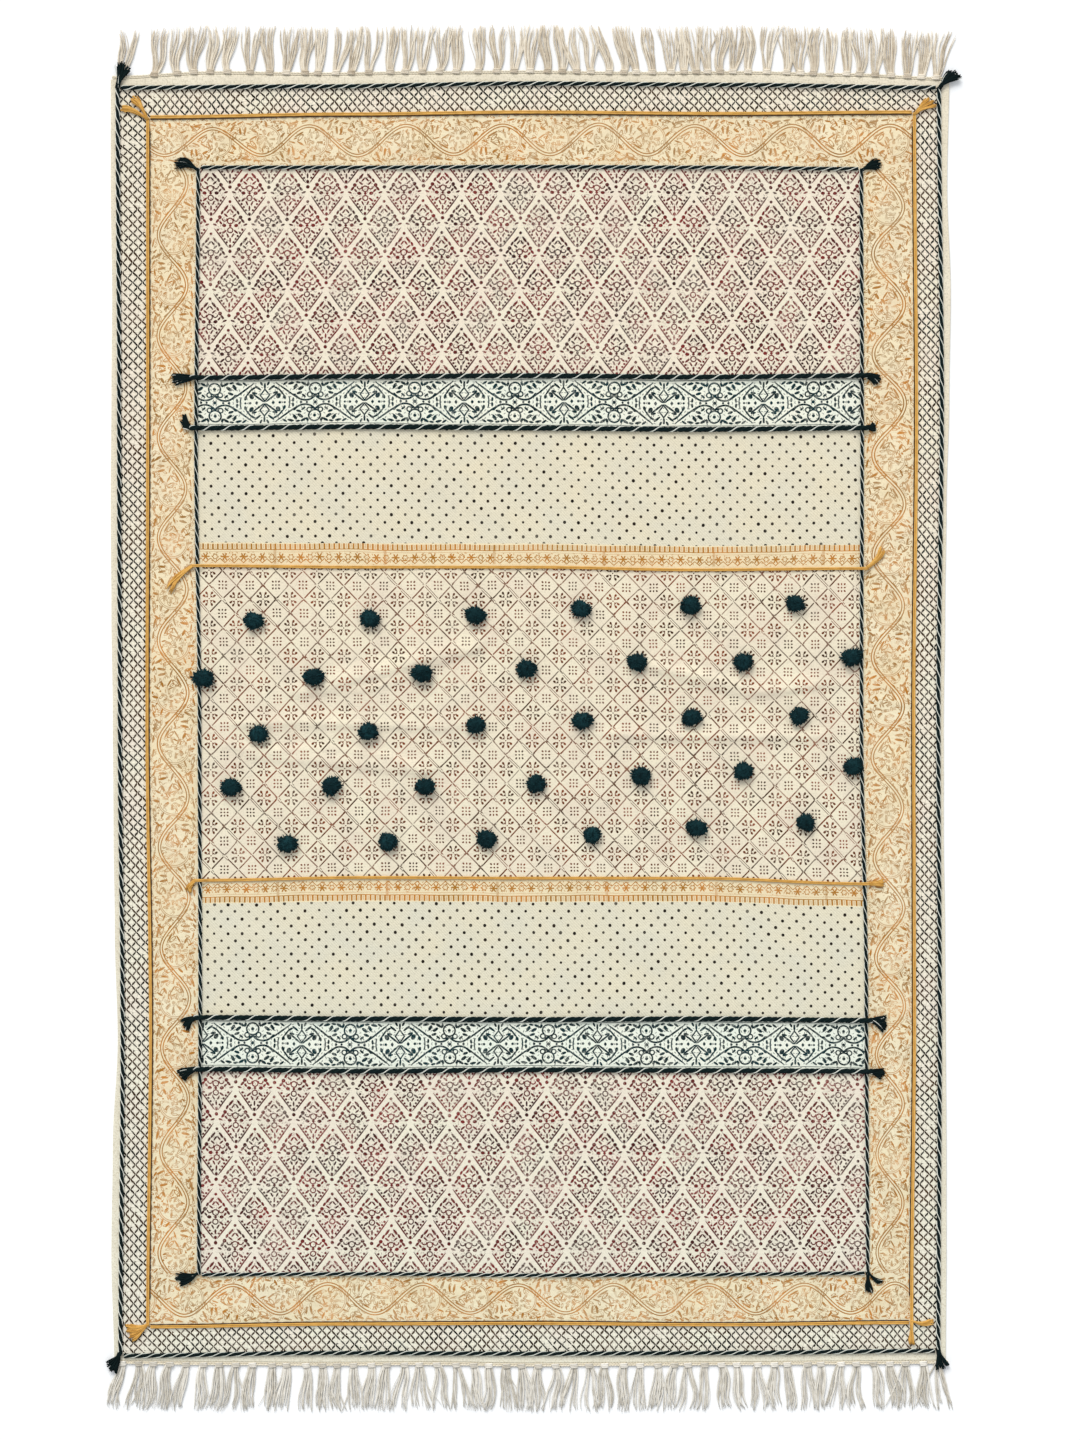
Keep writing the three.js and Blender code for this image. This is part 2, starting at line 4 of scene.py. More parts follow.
import bpy
import numpy as np
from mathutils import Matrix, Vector


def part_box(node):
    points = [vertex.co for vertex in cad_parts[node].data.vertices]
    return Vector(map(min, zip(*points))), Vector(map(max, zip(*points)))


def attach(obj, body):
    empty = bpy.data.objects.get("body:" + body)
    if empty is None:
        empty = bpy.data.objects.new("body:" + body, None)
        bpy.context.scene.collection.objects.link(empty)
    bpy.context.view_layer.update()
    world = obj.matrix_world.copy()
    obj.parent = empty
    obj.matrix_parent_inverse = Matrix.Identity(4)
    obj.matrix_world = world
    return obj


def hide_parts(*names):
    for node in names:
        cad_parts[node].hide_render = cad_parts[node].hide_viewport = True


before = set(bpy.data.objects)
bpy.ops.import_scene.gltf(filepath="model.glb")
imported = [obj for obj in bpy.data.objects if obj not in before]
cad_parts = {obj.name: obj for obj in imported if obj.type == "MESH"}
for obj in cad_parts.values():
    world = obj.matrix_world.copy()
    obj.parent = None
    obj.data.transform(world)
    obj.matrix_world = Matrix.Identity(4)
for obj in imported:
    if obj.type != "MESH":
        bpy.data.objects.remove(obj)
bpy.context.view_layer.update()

# A printed cotton dhurrie, laid flat. Lengths in the tables are millimetres in the rug's own plan: x across,
# y along, from the middle of the cloth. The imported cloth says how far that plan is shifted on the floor.
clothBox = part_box("dhurrie_cloth")
clothCorner = (-600, -921)  # the cloth's lowest x and y in that plan
planShift = tuple(clothBox[0][k] * 1000 - clothCorner[k] for k in (0, 1))
print("plan shift", planShift)

# Camera, floor and light
studio = {
    "cameraLens": 85,
    "cameraSensor": 36,
    "cameraClip": (0.05, 100),
    "frameHeight": 2.062,  # metres of floor over the picture's height
    "frameCentre": (0.0095, -0.0027),
    "floorSize": 30,
    "floorDrop": 0.0004,
    "floorColour": (0.93, 0.935, 0.945),
    "floorRoughness": 0.9,
    "floorSpecular": 0.1,
    "worldColour": (0.93, 0.965, 1.0),
    "worldStrength": 0.66,
    "keyFrom": (-0.25, 1.0, 0.85),
    "keySoftness": 32,  # degrees
    "keyPower": 2.5,
    "keyColour": (1.0, 0.985, 0.955),
}


def makeCamera(scene):
    camera = bpy.data.objects.new("camera", bpy.data.cameras.new("camera"))
    scene.collection.objects.link(camera)
    camera.data.lens = studio["cameraLens"]
    camera.data.sensor_width = studio["cameraSensor"]
    distance = studio["frameHeight"] * studio["cameraLens"] / studio["cameraSensor"]
    camera.location = (*studio["frameCentre"], distance)  # it looks straight down
    camera.data.clip_start, camera.data.clip_end = studio["cameraClip"]
    scene.camera = camera


def makeFloor(scene):
    half = studio["floorSize"] / 2
    mesh = bpy.data.meshes.new("floor")
    corners = [(-half, -half, 0), (half, -half, 0), (half, half, 0), (-half, half, 0)]
    mesh.from_pydata(corners, [], [(0, 1, 2, 3)])
    floor = bpy.data.objects.new("floor", mesh)
    scene.collection.objects.link(floor)
    floor.location.z = -studio["floorDrop"]
    material, shader, _ = newMaterial("studio_floor")
    shader.inputs["Base Color"].default_value = (*studio["floorColour"], 1)
    shader.inputs["Roughness"].default_value = studio["floorRoughness"]
    shader.inputs["Specular IOR Level"].default_value = studio["floorSpecular"]
    mesh.materials.append(material)


def makeLight(scene):
    world = bpy.data.worlds.new("studio")
    world.use_nodes = True
    background = world.node_tree.nodes["Background"]
    background.inputs["Color"].default_value = (*studio["worldColour"], 1)
    background.inputs["Strength"].default_value = studio["worldStrength"]
    scene.world = world
    lamp = bpy.data.lights.new("key", "SUN")
    lamp.angle = math.radians(studio["keySoftness"])
    lamp.energy = studio["keyPower"]
    lamp.color = studio["keyColour"]
    key = bpy.data.objects.new("key", lamp)
    key.location = studio["keyFrom"]
    key.rotation_mode = "QUATERNION"
    key.rotation_quaternion = (-Vector(studio["keyFrom"])).to_track_quat("-Z", "Y")
    scene.collection.objects.link(key)
    scene.view_settings.view_transform = "Standard"


def operator(operation, reflected=False):
    def method(self, other):
        first, second = (other, self) if reflected else (self, other)
        return self.maths(operation, first, second)

    return method


class Wire:  # a shader socket that adds, compares and blends as a number does
    def __init__(self, tree, socket=None):
        self.tree = tree
        self.socket = socket

    def node(self, kind, settings=None, values=None, output=0):
        made = self.tree.nodes.new(kind)
        for name, value in (settings or {}).items():
            setattr(made, name, value)
        for name, value in (values or {}).items():
            if isinstance(value, Wire):
                self.tree.links.new(value.socket, made.inputs[name])
            else:
                made.inputs[name].default_value = value
        return Wire(self.tree, made.outputs[output])

    def other(self, output):
        return Wire(self.tree, self.socket.node.outputs[output])

    def maths(self, operation, *values):
        return self.node("ShaderNodeMath", {"operation": operation}, dict(enumerate(values)))

    def vector(self, operation, *values):
        output = 1 if operation in ("DISTANCE", "LENGTH") else 0
        return self.node("ShaderNodeVectorMath", {"operation": operation}, dict(enumerate(values)), output)

    __add__, __radd__ = operator("ADD"), operator("ADD", True)
    __sub__, __rsub__ = operator("SUBTRACT"), operator("SUBTRACT", True)
    __mul__, __rmul__ = operator("MULTIPLY"), operator("MULTIPLY", True)
    __truediv__, __rtruediv__ = operator("DIVIDE"), operator("DIVIDE", True)
    __lt__, __gt__ = operator("LESS_THAN"), operator("GREATER_THAN")
    __or__, __and__ = operator("MAXIMUM"), operator("MINIMUM")

    def __abs__(self):
        return self.maths("ABSOLUTE", self)

    def apply(self, operation, *values):
        return self.maths(operation, self, *values)

    def near(self, value, reach):
        return self.apply("COMPARE", value, reach)

    def clamped(self, scale=1.0, offset=0.0):
        settings = {"operation": "MULTIPLY_ADD", "use_clamp": True}
        return self.node("ShaderNodeMath", settings, {0: self, 1: scale, 2: offset})

    def blended(self, under, over):
        return self.node("ShaderNodeMix", {"data_type": "RGBA"}, {0: self, 6: under, 7: over}, 2)

    def chosen(self, first, second):
        return self.node("ShaderNodeMix", {"data_type": "FLOAT"}, {0: self, 2: first, 3: second})

    def length(self):
        return self.vector("LENGTH", self)

    def split(self, count=2):
        first = self.node("ShaderNodeSeparateXYZ", None, {0: self})
        return [first] + [first.other(k) for k in range(1, count)]

    def bump(self, strength, distance):
        return self.node("ShaderNodeBump", None, {"Strength": strength, "Distance": distance, "Height": self})


def linear(red, green, blue):
    def one(value):
        share = value / 255
        return share / 12.92 if share <= 0.04045 else ((share + 0.055) / 1.055) ** 2.4

    return (one(red), one(green), one(blue), 1)


def newMaterial(name):
    material = bpy.data.materials.new(name)
    material.use_nodes = True
    shader = material.node_tree.nodes["Principled BSDF"]
    return material, shader, Wire(material.node_tree)


def dress(shader, colour, normal, roughness, specular):
    for name, wire in (("Base Color", colour), ("Normal", normal)):
        wire.tree.links.new(wire.socket, shader.inputs[name])
    shader.inputs["Roughness"].default_value = roughness
    shader.inputs["Specular IOR Level"].default_value = specular


def joined(paint, x, y, z=0.0):
    return paint.node("ShaderNodeCombineXYZ", None, {0: x, 1: y, 2: z})


def noise(paint, place, scale, detail=2.0, output=0):
    values = {"Vector": place, "Scale": scale, "Detail": detail}
    return paint.node("ShaderNodeTexNoise", None, values, output)


makeCamera(bpy.context.scene)
makeFloor(bpy.context.scene)
makeLight(bpy.context.scene)


# The print. Places are millimetres of the straightened cloth, from its UV map.
class Repeat:
    def luck(self, seed, output=0):  # a number or a colour that is this cell's own
        place = joined(self.paint, self.numberX, self.numberY, seed)
        return self.paint.node("ShaderNodeTexWhiteNoise", {"noise_dimensions": "3D"}, {"Vector": place}, output)


class Cell(Repeat):  # the nearest cell of a repeat: how far its middle is, and which cell it is
    def __init__(self, paint, x, y, stepX, stepY, offsetX=0.0, offsetY=0.0):
        self.paint = paint
        alongX = x.apply("MULTIPLY_ADD", 1 / stepX, -offsetX / stepX)
        alongY = y.apply("MULTIPLY_ADD", 1 / stepY, -offsetY / stepY)
        self.numberX, self.numberY = alongX.apply("ROUND"), alongY.apply("ROUND")
        self.x = (alongX - self.numberX) * stepX
        self.y = (alongY - self.numberY) * stepY


class HalfDrop(Repeat):  # the nearest cell of a repeat whose every other column is dropped by half
    def __init__(self, paint, x, y, stepX, stepY, offsetX=0.0, offsetY=0.0):
        self.paint = paint
        first = Cell(paint, x, y, stepX, stepY, offsetX, offsetY)
        second = Cell(paint, x, y, stepX, stepY, offsetX + stepX / 2, offsetY + stepY / 2)
        reachFirst = abs(first.x) * (1 / stepX) + abs(first.y) * (1 / stepY)
        self.dropped = reachFirst > 0.5
        self.reach = reachFirst & (1 - reachFirst)
        self.x = self.dropped.chosen(first.x, second.x)
        self.y = self.dropped.chosen(first.y, second.y)
        self.numberX = self.dropped.chosen(first.numberX, second.numberX + 0.5)
        self.numberY = self.dropped.chosen(first.numberY, second.numberY + 0.5)
        self.fromEdge = (0.5 - self.reach) * (1 / math.hypot(1 / stepX, 1 / stepY))  # millimetres


oneCell = 4000  # a step so wide that a repeat has one cell that way
inkSpread = {"line": 1.45, "leaf": 1.4, "leafLength": 1.08, "dot": 1.2}  # how far the ink runs out from the cut


def allOf(masks):
    total = masks[0]
    for mask in masks[1:]:
        total = total | mask
    return total


def fromSpot(place, x, y):
    return place.vector("DISTANCE", place, (x, y, 0))


def dot(place, x, y, radius):
    return fromSpot(place, x, y) < radius * inkSpread["dot"]


def ring(place, x, y, radius, halfWidth):
    return fromSpot(place, x, y).near(radius, halfWidth * inkSpread["line"])


def inEllipse(place, x, y, degrees, halfLength, halfWidth):  # 1 on the ellipse's edge
    values = {
        "Vector": place,
        "Location": (x, y, 0),
        "Rotation": (0, 0, math.radians(degrees)),
        "Scale": (halfLength, halfWidth, 1),
    }
    return place.node("ShaderNodeMapping", {"vector_type": "TEXTURE"}, values).length()


def leaf(place, x, y, degrees, halfLength, halfWidth):
    lengthInked, widthInked = halfLength * inkSpread["leafLength"], halfWidth * inkSpread["leaf"]
    return inEllipse(place, x, y, degrees, lengthInked, widthInked) < 1.0


def charted(spot, chart, slimness=1.0):
    # a motif's marks: dots (x, y, radius), rings (x, y, radius, half width) and leaves (x, y, turn in degrees,
    # half length, half width)
    marks = [dot(spot, *row) for row in chart.get("dots", [])]
    marks += [ring(spot, *row) for row in chart.get("rings", [])]
    marks += [leaf(spot, *row[:4], row[4] * slimness) for row in chart["leaves"]]
    return allOf(marks)


def scatteredLeaves(paint, place, step, halfLength, halfWidth, keep=0.75, outlined=False):
    # short strokes or outlined leaves at scattered places, each turned its own way
    values = {"Vector": place, "Scale": 1 / step, "Randomness": 0.8}
    spots = paint.node("ShaderNodeTexVoronoi", {"voronoi_dimensions": "2D"}, values, 2)
    turn, size = spots.other(1).split()
    values = {"Vector": place.vector("SUBTRACT", place, spots), "Angle": turn * 6.2832}
    turned = paint.node("ShaderNodeVectorRotate", {"rotation_type": "Z_AXIS"}, values)
    reach = turned.vector("MULTIPLY", turned, (1 / halfLength, 1 / halfWidth, 0)).length()
    shape = reach.near(0.82, 0.26) if outlined else reach < (size * 0.5 + 0.7)
    return shape & (size < keep)


def patchy(paint, place, scale):
    return noise(paint, place, scale, 3.0).clamped(4.0, -1.6)


weave = {
    "warpStep": 3.0,
    "weftStep": 2.1,
    "roughness": 0.88,
    "specular": 0.25,
    "bumpStrength": 0.55,
    "bumpDistance": 0.0006,  # metres
}
printing = {
    "drift": 5.0,  # how far the print wanders
    "slub": 0.26,
    "relief": 0.06,
    "speck": 0.15,
    "base": 0.735,
    "paintedCoolLight": (-1 / 1400, 0.25),  # painted cooler light: the lower half is shaded a little less warm
    "paintedCoolRed": 0.065,
    "paintedCoolGreen": 0.01,
    "paintedCoolBlue": 0.03,
    "blue": 0.985,
}


def weaveRelief(x, y):
    warp, weft = x * (2 * math.pi / weave["warpStep"]), y * (2 * math.pi / weave["weftStep"])
    return warp.apply("SINE") * weft.apply("SINE") * 0.5 + 0.5


# How each zone of the cloth is coloured: the ground, its warmer patches, and the two shades of its ink
clothColours = {
    "plain": {"ground": (240, 230, 209), "patch": (230, 219, 197), "inks": [(202, 192, 168), (206, 196, 174)]},
    "lattice": {"ground": (241, 234, 213), "patch": (240, 227, 210), "inks": [(18, 14, 4), (72, 46, 20)]},
    "vine": {"ground": (241, 227, 196), "patch": (239, 221, 183), "inks": [(150, 102, 34), (196, 126, 44)]},
    "medallion": {"ground": (237, 228, 206), "patch": (236, 221, 203), "inks": [(58, 23, 20), (122, 38, 36)]},
    "teal": {"ground": (240, 238, 222), "patch": (232, 236, 222), "inks": [(4, 28, 32), (8, 48, 54)]},
    "dots": {"ground": (232, 221, 194), "patch": (225, 218, 197), "inks": [(16, 9, 2), (40, 26, 14)]},
    "comb": {"ground": (240, 226, 190), "patch": (238, 217, 178), "inks": [(160, 108, 30), (190, 122, 46)]},
    "jaal": {"ground": (237, 226, 200), "patch": (237, 222, 200), "inks": [(62, 36, 10), (130, 62, 26)]},
}


def printedCloth(name, pattern):
    colours = clothColours[name]
    material, shader, paint = newMaterial("cloth_" + name)
    uv = paint.node("ShaderNodeUVMap", {"uv_map": "print"})
    drift, reach = noise(paint, uv, 0.012, 1.0, 1), printing["drift"]
    settle = drift.vector("MULTIPLY_ADD", drift, (reach, reach, 0), (-reach / 2, -reach / 2, 0))
    place = uv.vector("ADD", uv, settle)
    x, y = place.split()
    relief = weaveRelief(x, y)
    slub = noise(paint, place.vector("MULTIPLY", place, (0.12, 0.5, 0)), 1.0, 3.0)
    patches = noise(paint, place, 0.02, 2.0)
    ground = patches.clamped(2.2, -0.6).blended(linear(*colours["ground"]), linear(*colours["patch"]))
    speck = noise(paint, place, 0.42, 2.0).clamped(3.0, -1.0)
    # painted shade: the weave's relief darkens the ground in its hollows; slub and speck are the yarn's own
    # uneven tone
    shade = slub * printing["slub"] + relief * printing["relief"] + speck * printing["speck"]
    shade = shade.clamped(1.0, printing["base"])
    # painted cooler light: the ground is tinted a little less warm towards the lower end, as if the light there
    # were cooler
    paintedCool = y.clamped(*printing["paintedCoolLight"])
    red, green = 1 - paintedCool * printing["paintedCoolRed"], 1 - paintedCool * printing["paintedCoolGreen"]
    blue = paintedCool * printing["paintedCoolBlue"] + printing["blue"]
    shades = joined(paint, shade * red, shade * green, shade * blue)
    ground = paint.node(
        "ShaderNodeMix", {"data_type": "RGBA", "blend_type": "MULTIPLY"}, {0: 1.0, 6: ground, 7: shades}, 2
    )
    ink = pattern(paint, place, x, y)
    wear = noise(paint, place, 0.045, 2.0).clamped(1.3, 0.12)
    grain = noise(paint, place, 0.9, 1.0).clamped(3.0, -0.55)
    cover = ink * (wear * 0.28 + 0.80) * (grain * 0.32 + 0.78)
    inks = noise(paint, place, 0.026, 2.0).clamped(3.4, -1.3)
    inks = inks.blended(*(linear(*colour) for colour in colours["inks"]))
    normal = (relief * 0.6 + slub * 0.9).bump(weave["bumpStrength"], weave["bumpDistance"])
    dress(shader, cover.blended(ground, inks), normal, weave["roughness"], weave["specular"])
    return material


def plainPattern(paint, place, x, y):
    return noise(paint, place, 0.35, 2.0).clamped(4.0, -2.0)


lattice = {"stepX": 13.4, "stepY": 13.9, "halfLine": 1.1, "sway": 5.0, "swayScale": 0.02}


def latticePattern(paint, place, x, y):
    seeds = (3.0, 9.0)
    swayX, swayY = (noise(paint, joined(paint, x, y, seed), lattice["swayScale"], 1.0) for seed in seeds)
    x, y = x + swayX * lattice["sway"], y + swayY * lattice["sway"]
    cell = HalfDrop(paint, x, y, lattice["stepX"], lattice["stepY"], 4.5, 3.5)
    falling = (cell.x * cell.y) > 0.0
    luck = Cell(paint, x, y, lattice["stepX"] / 2, lattice["stepY"] / 2, 3.2, 2.7).luck(3.0)
    line = cell.fromEdge < (luck * 0.45 + (lattice["halfLine"] - 0.2))
    rises = line & (luck > 0.07) & (abs(cell.x) > 0.9)
    lines = falling.chosen(rises * 0.95, line) * (luck * 0.2 + 0.88)
    speck = (abs(cell.x) | abs(cell.y)).near(2.6, 0.5) * 0.16
    return lines | speck


vine = {
    "period": 139,
    "swing": 20.5,
    "stemGap": 1.8,
    "stemHalf": 0.8,
    "scroll": (5.0, -0.8),
    "scrollReach": 21.4,
    "flower": (5.5, -2.6),
    "middles": {"x": (-829.5, 828.0), "y": (-510.5, 513.0)},  # of the border's two sides
    "starts": {"x": (-20.2, -37.7), "y": (-38.0, -21.9)},  # where an arch stands at its top
    "periods": {"x": (135.4, 138.4), "y": (146.0, 143.0)},
    "petals": [  # outlined: place in the arch, turn in degrees, half length and half width
        (-12.4, 4.2, 48, 5.2, 2.1), (-24.6, 20.4, 20, 5.6, 2.2), (31.2, 8.6, 70, 5.0, 2.0),
        (-9.0, -19.6, 150, 4.6, 1.9), (22.6, -27.0, 14, 5.2, 1.9),
    ],
    "leaves": [
        (-12.7, -4.3, -32, 5.6, 1.0), (-25.0, -2.3, -18, 4.8, 0.95), (-10.7, -15.0, 28, 4.2, 1.6),
        (-6.0, -22.3, 62, 4.4, 1.2), (6.7, -24.6, 78, 4.2, 1.6), (-30.2, -15.6, 85, 5.2, 1.45),
        (-23.4, -15.6, 102, 5.6, 1.5), (-14.7, 8.4, 30, 7.2, 1.25), (-1.6, -9.8, 14, 2.6, 0.7),
        (9.6, -10.4, 118, 2.8, 0.8), (-5.4, -2.6, 112, 3.6, 0.8), (-30.6, 22.6, -50, 4.2, 1.35),
        (-22.4, 25.6, 15, 6.6, 1.5), (-6.7, 27.9, 8, 4.8, 1.15), (12.0, 28.4, 12, 5.4, 1.15),
        (29.0, 20.3, 62, 5.8, 1.5), (23.6, 25.8, 48, 3.6, 1.0), (31.4, 28.0, 35, 3.6, 1.2),
        (30.4, -8.3, -48, 4.2, 1.5), (26.4, -16.2, -22, 4.6, 1.1), (-17.8, -25.6, 12, 4.4, 1.1),
        (-30.4, -27.4, -28, 3.8, 1.2), (-29.0, 8.6, 44, 3.4, 0.9), (31.0, -27.0, 24, 4.0, 1.2),
        (1.2, 13.2, 72, 2.8, 0.9), (-20.0, 2.8, 22, 3.0, 0.8),
    ],
    "leafSlimness": 0.8,
    "dots": [
        (15.8, -22.8, 1.15), (19.6, -27.6, 1.15), (23.4, -22.2, 1.15), (0.4, -28.6, 1.15), (-1.2, -17.2, 1.15),
        (9.4, 15.0, 1.15),
    ],
}


def vinePattern(axis):
    def pattern(paint, place, x, y):
        # arches either way in turn: u runs along the border and v towards the arch's top
        along, across = (x, y) if axis == "x" else (y * -1, x)
        side = across > 0.0
        stretch = side.chosen(*(vine["period"] / period for period in vine["periods"][axis]))
        along = (along - side.chosen(*vine["starts"][axis])) * stretch
        across = across - side.chosen(*vine["middles"][axis])
        half = vine["period"] / 2
        arch = Cell(paint, along, across, half, oneCell)
        under = arch.numberX.apply("PINGPONG", 1.0) > 0.5
        u, v = arch.x, under.chosen(across, across * -1)
        spot = joined(paint, u, v)

        turn = u * (math.pi / half)
        slope = turn.apply("SINE") * (vine["swing"] * math.pi / half)
        lean = (slope * slope + 1).apply("SQRT")
        fromStem = abs((v - turn.apply("COSINE") * vine["swing"]) / lean)
        stem = fromStem.near(vine["stemGap"], vine["stemHalf"])

        scrollX, scrollY = vine["scroll"]
        fromScroll = fromSpot(spot, scrollX, scrollY)
        openSide = ((u - scrollX) * 0.94 - (v - scrollY) * 0.34) > 4.0
        scroll = abs(fromScroll - vine["scrollReach"]).near(1.15, 0.66) & openSide

        flowerX, flowerY = vine["flower"]
        bearing = (v - flowerY).apply("ARCTAN2", u - flowerX) * 7.0
        fromFlower = fromSpot(spot, flowerX, flowerY)
        rays = (bearing.apply("COSINE") > 0.45) & fromFlower.near(9.8, 4.2)
        heart = fromFlower < 2.4

        petals = allOf([inEllipse(spot, *row).near(1.0, 0.24) for row in vine["petals"]])
        tint = noise(paint, place, 0.09, 1.0).clamped(2.4, -0.7)
        fine = scatteredLeaves(paint, place, 7.6, 4.0, 1.6, 0.9, True) & (fromStem > (vine["stemGap"] + 1.0))
        fine = fine & (abs(fromScroll - vine["scrollReach"]) > 2.8)
        strokes = charted(spot, vine, vine["leafSlimness"]) * (tint * 0.3 + 0.7) | fine * (tint * 0.4 + 0.46)
        lines = stem * 0.95 | scroll * 0.62 | petals * 0.8 | rays * (tint * 0.6 + 0.2) | heart * 0.5
        return (lines | strokes) * (arch.luck(5.0) * 0.14 + 0.86) | patchy(paint, place, 0.028) * 0.12

    return pattern


medallion = {
    "stepX": 55.4,
    "stepY": 91.8,
    "shiftX": (-7.0, 15.0),  # of the lower and the upper field
    "shiftY": (-21.0, 27.3),
    # the upper half of the diamond, then the lower half with its straight beaded edges
    "dots": [
        (0, 34.02, 1.77), (14.9, 12.1, 2.3), (0, 0.22, 1.65), (17.71, -6.05, 1.42), (14.26, -10.58, 1.36),
        (11.02, -14.9, 1.42), (7.99, -19.22, 1.3), (4.97, -23.76, 1.3), (0, -36.72, 2.12),
    ],
    "rings": [(0, 6.91, 4, 0.61), (0, -6.48, 3.67, 0.61)],
    "leaves": [
        (5.83, 24.84, 128, 4.75, 1.18), (2.59, 20.52, 128, 3.46, 0.87), (11.45, 18.79, 118, 3.02, 1.18),
        (18.14, 6.91, 130, 3.24, 1.24), (22.03, 1.51, 20, 2.81, 0.99), (8.64, 0.43, 10, 2.81, 1.74),
        (6.26, 14.9, 40, 3.24, 0.93), (13.61, 4.32, 50, 2.59, 1.05), (12.74, -17.5, 53, 16.2, 0.77),
        (8.42, -8.86, 140, 3.67, 1.05), (3.67, -13.82, 62, 3.24, 0.87), (0, -20.95, 90, 3.46, 0.93),
        (0, -29.38, 90, 2.38, 1.49),
    ],
    "curl": (7.99, 9.94, 3.35, 0.61),  # a ring that is open above curlTop
    "curlTop": 10.5,
}


def medallionPattern(paint, place, x, y):
    up = y > 0.0
    shiftX, shiftY = up.chosen(*medallion["shiftX"]), up.chosen(*medallion["shiftY"])
    cell = HalfDrop(paint, x - shiftX, y + shiftY, medallion["stepX"], medallion["stepY"])
    spot = joined(paint, abs(cell.x), cell.y)
    marks = charted(spot, medallion) | (ring(spot, *medallion["curl"]) & (cell.y < medallion["curlTop"]))
    broken = noise(paint, place, 0.30, 1.0).clamped(4.0, -1.4)
    inside = cell.reach < 0.39
    fine = scatteredLeaves(paint, place, 4.3, 1.8, 0.7, 0.75) & inside
    edge = cell.reach.near(0.42, 0.011) & (abs(cell.y) < 30.0) & (broken > 0.5)
    heavy = marks * (broken * 0.4 + 0.74) | fine * 0.42 | edge * 0.26
    return heavy * (cell.luck(7.0) * 0.3 + 0.82) | (inside * 0.08) * patchy(paint, place, 0.03)


teal = {
    "half": 70.6,
    "middles": (-465, 454),  # of the lower and the upper band
    "starts": (-47.6, -90.8),
    "halves": (70.4, 71.3),
    "oval": (34.7, 32.1),
    # from the pointed lens to the ringed rosette
    "dots": [
        (70.6, 19.8, 1.9), (11.4, 0, 1.68), (20.6, 0, 1.57), (27.6, 0, 1.34), (50.6, 0, 1.46),
        (58.6, 0, 1.34), (70.6, 0, 2.02),
    ],
    "rings": [(70.6, 19.8, 8.4, 0.81), (62.6, 11.2, 3.3, 0.68)],
    "leaves": [
        (0, 24.6, 90, 4.4, 1.1), (9.6, 7.8, 38, 10.4, 0.98), (18.6, 9.6, 60, 3.8, 2.2),
        (14.4, 14.6, 18, 3.6, 1.1), (9.4, 22, 40, 5.4, 1.1), (4.8, 28.2, 62, 3, 1.1),
        (22.4, 15.6, 128, 7.4, 0.92), (16, 21.4, 150, 3.6, 1.1), (27.2, 7.6, 108, 3.2, 1.46),
        (31, 17, 143, 19, 0.92), (66.8, 7.8, 50, 2.6, 1.22), (50.4, 20.6, 35, 4.4, 1.59),
        (42.8, 22.8, 60, 4.2, 1.59), (54.8, 26.6, 150, 4.2, 1.34), (48, 13.6, 20, 3.8, 1.34),
        (36.8, 27.4, 12, 4.4, 1.22), (60.4, 25.8, 62, 3, 1.34), (47, 28.6, 170, 3, 1.1),
        (28.4, 27.4, 35, 3.6, 1.1), (39.4, 3.6, 84, 3, 1.1), (54.2, 9.6, 140, 3.2, 1.1),
    ],
    "arch": (56.5, 20.6, 17.4, 0.95),  # a ring that is open above archTop
    "archTop": 12.5,
}


def tealPattern(paint, place, x, y):
    up = y > 0.0
    across = abs(y - up.chosen(*teal["middles"]))
    stretch = up.chosen(*(teal["half"] / half for half in teal["halves"]))
    along = ((x - up.chosen(*teal["starts"])) * stretch).apply("PINGPONG", teal["half"])
    spot = joined(paint, along, across)
    wide, high = teal["oval"]
    oval = spot.vector("MULTIPLY", spot, (1 / wide, 1 / high, 0)).length()
    lens = oval.near(1.0, 0.026) & (across < 8.0)
    diamond = (along * (1 / 6.4) + abs(across - 11.0) * (1 / 8.8)).near(1.0, 0.2)
    arch = ring(spot, *teal["arch"]) & (across < teal["archTop"])
    marks = charted(spot, teal) | lens | diamond | arch | across.near(32.2, 0.4)
    fine = scatteredLeaves(paint, spot, 5.4, 2.2, 0.8, 0.7) * 0.6
    broken = noise(paint, place, 0.2, 1.0).clamped(4.0, -1.4)
    return marks * (broken * 0.3 + 0.78) | fine


dots = {"stepX": 19.8, "stepY": 20.6, "radius": 2.02, "hatchStep": 4.3}


def dotsPattern(paint, place, x, y):
    cell = HalfDrop(paint, x, y, dots["stepX"], dots["stepY"], 3.0, 4.0)
    luckX, luckY, luckSize = cell.luck(2.0, 1).split(3)
    spot = joined(paint, cell.x + luckX * 0.9, (cell.y + luckY * 0.9) * 0.94)
    inked = (spot.length() - (luckSize * 0.7 + (dots["radius"] - 0.35))).clamped(-2.4, 0.5)
    twill = ((x + y) * (1 / dots["hatchStep"])).apply("FRACT")
    return inked * (luckY * 0.26 + 0.80) | (abs(twill - 0.5) < 0.22) * 0.10


comb = {
    "tooth": 6.95,
    "star": 27.2,
    "starHeight": 10.2,
    "upperFoot": 221.0,
    "lowerFoot": -232.0,
    "height": 29.0,
    "block": 157,
}


